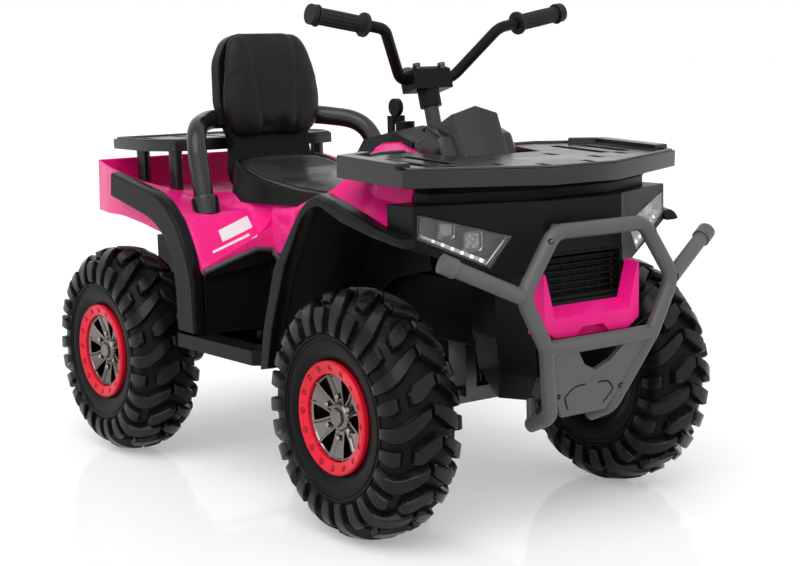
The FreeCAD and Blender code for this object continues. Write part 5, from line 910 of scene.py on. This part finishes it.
# Bridge between the fascia and the front rack

BRIDGE = ((494, 80), (436, 204), (404, 204))
# each layer: its level, how far it reaches out, and how it rises towards the rear
BRIDGE_LAYERS = ((472, -6, 0), (480, 0, 0), (494, 0, 0), (503, 8, 0.0524))


def rack_bridge():
    rows = []
    for level, grow, slope in BRIDGE_LAYERS:
        half = [(x + grow, y + grow, level + (BRIDGE[0][0] - x) * slope) for x, y in BRIDGE]
        rows.append([(x, -y, z) for x, y, z in half] + half[::-1])
    shaped("front_rack_bridge", Form().rings(rows), black_shell, edge=1.5)


rack_bridge()


# Dash hood: a steep faceted front, a block on each flank and walls below it beside the column

# each row: place along the machine, then the half section from the ridge to the foot
HOOD_ROWS = (
    (218, ((0, 561), (44, 557), (60, 549), (72, 502))),
    (243, ((0, 577), (44, 571), (60, 560), (71, 502))),
    (286, ((0, 602), (43, 592), (50, 558), (57, 504))),
    (292, ((0, 604.5), (42, 592), (48, 556), (55, 508))),
    (318, ((0, 540), (38, 536), (43, 530), (48, 512))),
    (326, ((0, 524), (36, 522), (41, 520), (46, 512))),
)
HOOD_BLOCK = ((242, 540), (257, 575), (294, 561), (307, 532), (309, 510), (242, 510))
# each layer of a block: distance from the middle of the machine, and how far it is drawn in
BLOCK_X, BLOCK_Z, BLOCK_LAYERS = 276, 536, ((36, 0), (65, 0), (72, 0.2))
HOOD_CHEEK = ((212, 430), (212, 506), (318, 512), (330, 470), (330, 430))
CHEEK_Y, CHEEK_WALL = 60, 3


def hood_cover():
    rows = []
    for x, half in HOOD_ROWS:
        rows.append([(x, -y, z) for y, z in reversed(half)] + [(x, y, z) for y, z in half[1:]])
    thing = shaped("dash_hood_cover", Form().rings(rows), grained_black, edge=1.6)
    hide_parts("dash_hood")


def hood_sides():
    blocks = Form()
    cheeks = Form()
    for sign in (-1, 1):
        rows = []
        for y, draw in BLOCK_LAYERS:
            rows.append([(x + (BLOCK_X - x) * draw, y * sign, z + (BLOCK_Z - z) * draw)
                         for x, z in HOOD_BLOCK])
        blocks.rings(rows)
        cheeks.prism([(x, CHEEK_Y * sign, z) for x, z in HOOD_CHEEK], (0, CHEEK_WALL * sign, 0))
    shaped("dash_hood_blocks", blocks, grained_black, edge=1.5)
    shaped("dash_hood_cheeks", cheeks, black_shell, edge=0.8)


hood_cover()
hood_sides()


# Racks: raised borders, and the plate that closes the notch of the front one

RACK_X, RACK_Z, RACK_PITCH = 532, 525, radians(3)
RACK_EDGE = ((-6, 58), (-80, 246), (-234, 246), (-278, 150), (-278, 106))
RACK_NOTCH = ((-172, -80), (-172, 80), (-282, 108), (-282, -108))
REAR_EDGE, REAR_Z = ((-326, 116), (-338, 160), (-388, 186), (-522, 177)), 541.5
BORDER_RADIUS, BORDER_FLAT = 4, 0.75


def rack_spot(along, y, proud):
    """A spot so high above the front rack."""
    return Vector((RACK_X + along * cos(RACK_PITCH) + proud * sin(RACK_PITCH), y,
                   RACK_Z - along * sin(RACK_PITCH) + proud * cos(RACK_PITCH)))


def rack_borders():
    path = [rack_spot(along, -y, 0.5) for along, y in reversed(RACK_EDGE)]
    path += [rack_spot(along, y, 0.5) for along, y in RACK_EDGE]
    front = Form().swept(path, BORDER_RADIUS, flat=BORDER_FLAT)
    shaped("front_rack_border", front, grained_black)
    infill = Form().prism([rack_spot(along, y, -9) for along, y in RACK_NOTCH], (0, 0, -6))
    shaped("front_rack_infill", infill, black_shell, edge=1)
    path = [(x, -y, REAR_Z) for x, y in REAR_EDGE] + [(x, y, REAR_Z) for x, y in reversed(REAR_EDGE)]
    rear = Form().swept(path, BORDER_RADIUS, closed=True, flat=BORDER_FLAT)
    shaped("rear_rack_border", rear, grained_black)


rack_borders()


# Seat and backrest: stuffed covers in place of the plain solids

VOXEL, FRAMES, PRESSURE, COVER_INSET = 0.005, 20, 4, 0.0015
# how far a cover may stand off its form: a share of its crown on the open face, and a little under elsewhere
OPEN_SHARE, OPEN_COSINE, HELD_ROOM = 0.8, 0.35, -0.0004
BACK_BASE, BACK_LEAN = Vector((-280, 0, 550)), atan2(24, 180)
BACK_FACE = Vector((cos(BACK_LEAN), 0, sin(BACK_LEAN)))
BACK_UP = Vector((-sin(BACK_LEAN), 0, cos(BACK_LEAN)))


def surface_tree(mesh):
    spots = [spot.co for spot in mesh.vertices]
    return BVHTree.FromPolygons(spots, [part.vertices for part in mesh.polygons])


def eased(thing, name, times):
    ease = thing.modifiers.new(name, "SMOOTH")
    ease.factor = 0.5
    ease.iterations = times


def keep_shape(thing):
    """Keep the mesh that a piece shows with its modifiers, and clear them."""
    graph = bpy.context.evaluated_depsgraph_get()
    thing.data = bpy.data.meshes.new_from_object(thing.evaluated_get(graph))
    thing.modifiers.clear()


def stuffed(name, node, form, face, crown, leather):
    """A cover remeshed from its form, blown up a little and held to the form except on its open face."""
    solid = mesh_of(name, form)
    tree = surface_tree(solid)
    thing = placed(name, solid)
    remesh = thing.modifiers.new("even_mesh", "REMESH")
    remesh.mode = "VOXEL"
    remesh.voxel_size = VOXEL
    eased(thing, "eased", 6)
    keep_shape(thing)
    for spot in thing.data.vertices:
        spot.co -= spot.normal * COVER_INSET
    rest = [spot.co.copy() for spot in thing.data.vertices]
    cloth = thing.modifiers.new("filling", "CLOTH").settings
    cloth.use_pressure = True
    cloth.uniform_pressure_force = PRESSURE
    cloth.effector_weights.gravity = 0
    scene = bpy.context.scene
    for step in range(1, FRAMES + 1):
        scene.frame_set(step)
    keep_shape(thing)
    scene.frame_set(1)
    for spot, start in zip(thing.data.vertices, rest):
        move = spot.co - start
        if move.length > crown:
            spot.co = start + move.normalized() * crown
        near, normal = tree.find_nearest(spot.co)[:2]
        room = crown * OPEN_SHARE if normal.dot(face) > OPEN_COSINE else HELD_ROOM
        out = (spot.co - near).dot(normal)
        if out > room:
            spot.co -= normal * (out - room)
    eased(thing, "settled", 5)
    keep_shape(thing)
    thing.data.materials.append(leather)
    thing.data.polygons.foreach_set("use_smooth", [True] * len(thing.data.polygons))
    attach(thing, "chassis")
    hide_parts(node)
    return thing


def fine_mesh(thing):
    thing.modifiers.new("finer", "SUBSURF").levels = 1
    thing.modifiers["finer"].render_levels = 1


PAD_HALF, PAD_HEIGHT, PAD_FOOT = 104, 189, -11
# half of the pad's outline, as shares of its half width and height
PAD_OUTLINE = ((0, 1), (0.45, 1), (0.66, 0.975), (0.80, 0.88), (0.90, 0.70), (0.97, 0.50), (1, 0.34),
               (0.96, 0.19), (0.84, 0.07), (0.62, 0.005), (0.3, 0))
# each layer: depth in front of the frame, and how far it is drawn in
PAD_LAYERS = ((0.3, 1), (6, 0), (13, 1), (19, 4.5), (24, 11), (28, 23), (30, 45))
# the seams' distance from the middle at the top and at the foot of the backrest, in millimetres
SEAM_TOP, SEAM_FOOT, SEAM_LENGTH = 50, 33, 176
SEAM_DEPTH, SEAM_REACH = 0.0032, 0.0042
STITCHES, STITCH_START, STITCH_PITCH, STITCH_LENGTH = 36, 4, 4.7, 3


def pad_form():
    """The crowned pad, from the frame to its front."""
    whole = [(aside * PAD_HALF, up * PAD_HEIGHT, 0) for aside, up in mirrored(PAD_OUTLINE)]
    loop = smooth_path(whole, 4)[:-1]
    middle = PAD_HEIGHT / 2
    rows = []
    for depth, inset in PAD_LAYERS:
        rows.append([BACK_BASE + BACK_FACE * depth + Vector((0, spot.x * (1 - inset / PAD_HALF), 0))
                     + BACK_UP * (PAD_FOOT + middle + (spot.y - middle) * (1 - inset / middle))
                     for spot in loop])
    return Form().rings(rows)


def seam_y(up):
    return SEAM_FOOT + (SEAM_TOP - SEAM_FOOT) * up / SEAM_LENGTH


def backrest_cover():
    thing = stuffed("backrest_cover", "backrest_cushion", pad_form(), BACK_FACE, 0.006, pad_leather)
    for spot in thing.data.vertices:
        if spot.normal.dot(BACK_FACE) > 0.1:
            local = spot.co / MM - BACK_BASE
            off = (abs(local.y) - seam_y(local.dot(BACK_UP))) * MM
            spot.co -= BACK_FACE * SEAM_DEPTH * exp(-(off / SEAM_REACH) ** 2)
    tree = surface_tree(thing.data)
    threads = Form()
    for sign in (-1, 1):
        for stitch in range(STITCHES):
            up = STITCH_START + stitch * STITCH_PITCH
            ends = []
            for rise in (up, up + STITCH_LENGTH):
                aside = Vector((0, seam_y(rise) * sign, 0))
                start = (BACK_BASE + BACK_UP * rise + BACK_FACE * 80 + aside) * MM
                hit = tree.ray_cast(start, -BACK_FACE)[0]
                if hit:
                    ends.append(hit / MM + BACK_FACE * 0.15)
            if len(ends) == 2:
                threads.swept(ends, 0.55, 6, up=BACK_FACE)
    fine_mesh(thing)
    shaped("backrest_stitches", threads, thread_grey)


# each row: place along the machine, half width, height of the rim and of the middle
SEAT_ROWS = ((-262, 78, 514, 519), (-240, 92, 507, 501), (-200, 99, 494, 486), (-150, 100, 482, 480),
             (-100, 95, 473, 478), (-60, 88, 467, 477), (-20, 78, 464, 475), (14, 62, 462, 471),
             (36, 48, 461, 466))
SEAT_EDGE, SEAT_DEEP, SEAT_SPARE, SEAT_CURVE = 8, 18, 6, 2.4
BASE_WALL, BASE_FLARE, BASE_FOOT_Z = 8, 10, 440


def seat_form():
    """The saddle: dished at the rear and rounded towards its nose."""
    rows = []
    for x, width, rim_z, middle_z in SEAT_ROWS:
        half = width + SEAT_SPARE
        low, waist, top = rim_z - SEAT_DEEP, rim_z - SEAT_DEEP / 2, rim_z - 3
        ring = [(4 - half, low), (half - 4, low), (half, waist), (half - 2, top)]
        for step in range(13):
            share = 1 - step / 6
            rise = (rim_z - middle_z) * abs(share) ** SEAT_CURVE
            ring.append(((half - SEAT_EDGE) * share, middle_z + rise))
        rows.append([(x, y, z) for y, z in ring + [(2 - half, top), (-half, waist)]])
    return Form().rings(rows)


def seat_base_shell():
    """The bowl that the saddle sits in."""
    rows = []
    for x, half, rim_z, middle_z in SEAT_ROWS:
        brim = half + BASE_WALL
        foot = brim + BASE_FLARE
        wall = [(brim, rim_z - 6), (brim - 3, rim_z - 3), (half - 1, rim_z - 3),
                (half - 6, rim_z - SEAT_DEEP)]
        ring = [(-foot, BASE_FOOT_Z), (foot, BASE_FOOT_Z)] + mirrored(wall)
        rows.append([(x, y, z) for y, z in ring])
    thing = shaped("seat_base_shell", Form().rings(rows), black_shell, crease=50)
    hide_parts("seat_base")


def seat_cover():
    thing = stuffed("seat_cover", "seat_cushion", seat_form(), Vector((0, 0, 1)), 0.004, saddle_leather_highlight)
    tree = surface_tree(thing.data)
    welt = Form()
    for sign in (-1, 1):
        path = []
        edge = [(x, (half - SEAT_EDGE) * sign, 0) for x, half, rim_z, middle_z in SEAT_ROWS]
        for spot in smooth_path(edge, 8):
            hit = tree.ray_cast(Vector((spot.x, spot.y, 700)) * MM, Vector((0, 0, -1)))[0]
            if hit:
                path.append(hit / MM)
        welt.swept(path, 1.8)
    fine_mesh(thing)
    shaped("seat_welt", welt, welt_leather)


seat_base_shell()
backrest_cover()
seat_cover()


# Stage, light and camera

FLOOR_REACH, FLOOR_LIFT, FLOOR_SHEEN = 40, 0.34, 0.09
FOCAL_PIXELS, PHOTO_PIXELS, SENSOR = 1613, 800, 36
CAMERA_PLACE, CAMERA_LOOK = Vector((2.160, -1.536, 0.685)), Vector((0.093, 0, 0.317))
CAMERA_ROLL = radians(-1.36)
WHITE = (1, 1, 1, 1)


def seen_rays(tree):
    """One for rays that are seen, and nothing for those that only bring light."""
    ray = add(tree, "ShaderNodeLightPath").outputs
    straight = math_node(tree, "MAXIMUM", ray["Is Camera Ray"], ray["Is Glossy Ray"])
    return math_node(tree, "MAXIMUM", straight, ray["Is Transmission Ray"])


def stage():
    sheet = bpy.data.meshes.new("studio_floor")
    corners = [(x * FLOOR_REACH, y * FLOOR_REACH, 0) for x, y in ((-1, -1), (1, -1), (1, 1), (-1, 1))]
    sheet.from_pydata(corners, [], [(0, 1, 2, 3)])
    floor = placed("studio_floor", sheet)
    made = bpy.data.materials.new("pale_floor")
    made.use_nodes = True
    tree = made.node_tree
    tree.nodes.clear()
    glow = math_node(tree, "MULTIPLY", seen_rays(tree), FLOOR_LIFT)
    matt = add(tree, "ShaderNodeBsdfDiffuse", {"Color": (0.8, 0.8, 0.8, 1)})
    lift = add(tree, "ShaderNodeEmission", {"Color": WHITE, "Strength": glow})
    both = add(tree, "ShaderNodeAddShader", {0: matt.outputs[0], 1: lift.outputs[0]})
    gloss = add(tree, "ShaderNodeBsdfGlossy", {"Color": WHITE, "Roughness": 0.07})
    sheen = add(tree, "ShaderNodeMixShader", {0: FLOOR_SHEEN, 1: both.outputs[0], 2: gloss.outputs[0]})
    add(tree, "ShaderNodeOutputMaterial", {"Surface": sheen.outputs[0]})
    sheet.materials.append(made)


def surroundings():
    world = bpy.data.worlds.new("studio")
    bpy.context.scene.world = world
    world.use_nodes = True
    tree = world.node_tree
    tree.nodes.clear()
    level = add(tree, "ShaderNodeMapRange", {"Value": seen_rays(tree), "To Min": 0.55, "To Max": 1})
    sky = add(tree, "ShaderNodeBackground", {"Color": WHITE, "Strength": level.outputs[0]})
    add(tree, "ShaderNodeOutputWorld", {"Surface": sky.outputs[0]})


def lamp(name, strength, angle, towards):
    data = bpy.data.lights.new(name, "SUN")
    data.energy = strength
    data.angle = radians(angle)
    placed(name, data).rotation_euler = Vector(towards).to_track_quat("-Z", "Y").to_euler()


def camera():
    data = bpy.data.cameras.new("photo_camera")
    data.sensor_width = SENSOR
    data.lens = SENSOR * FOCAL_PIXELS / PHOTO_PIXELS
    made = placed("photo_camera", data)
    look = (CAMERA_LOOK - CAMERA_PLACE).normalized()
    right = look.cross(Vector((0, 0, 1))).normalized()
    up = right.cross(look)
    turned_right = right * cos(CAMERA_ROLL) + up * sin(CAMERA_ROLL)
    turned_up = up * cos(CAMERA_ROLL) - right * sin(CAMERA_ROLL)
    turn = Matrix((turned_right, turned_up, -look)).transposed().to_4x4()
    made.matrix_world = Matrix.Translation(CAMERA_PLACE) @ turn
    bpy.context.scene.camera = made


stage()
surroundings()
lamp("key_light", 1.3, 50, (-0.35, 0.6, -1))
lamp("fill_light", 0.5, 70, (-1, -0.1, -0.7))
lamp("low_light", 0.5, 70, (-0.5, 0.8, -0.25))
camera()
bpy.context.scene.view_settings.view_transform = "Standard"

bpy.context.view_layer.update()
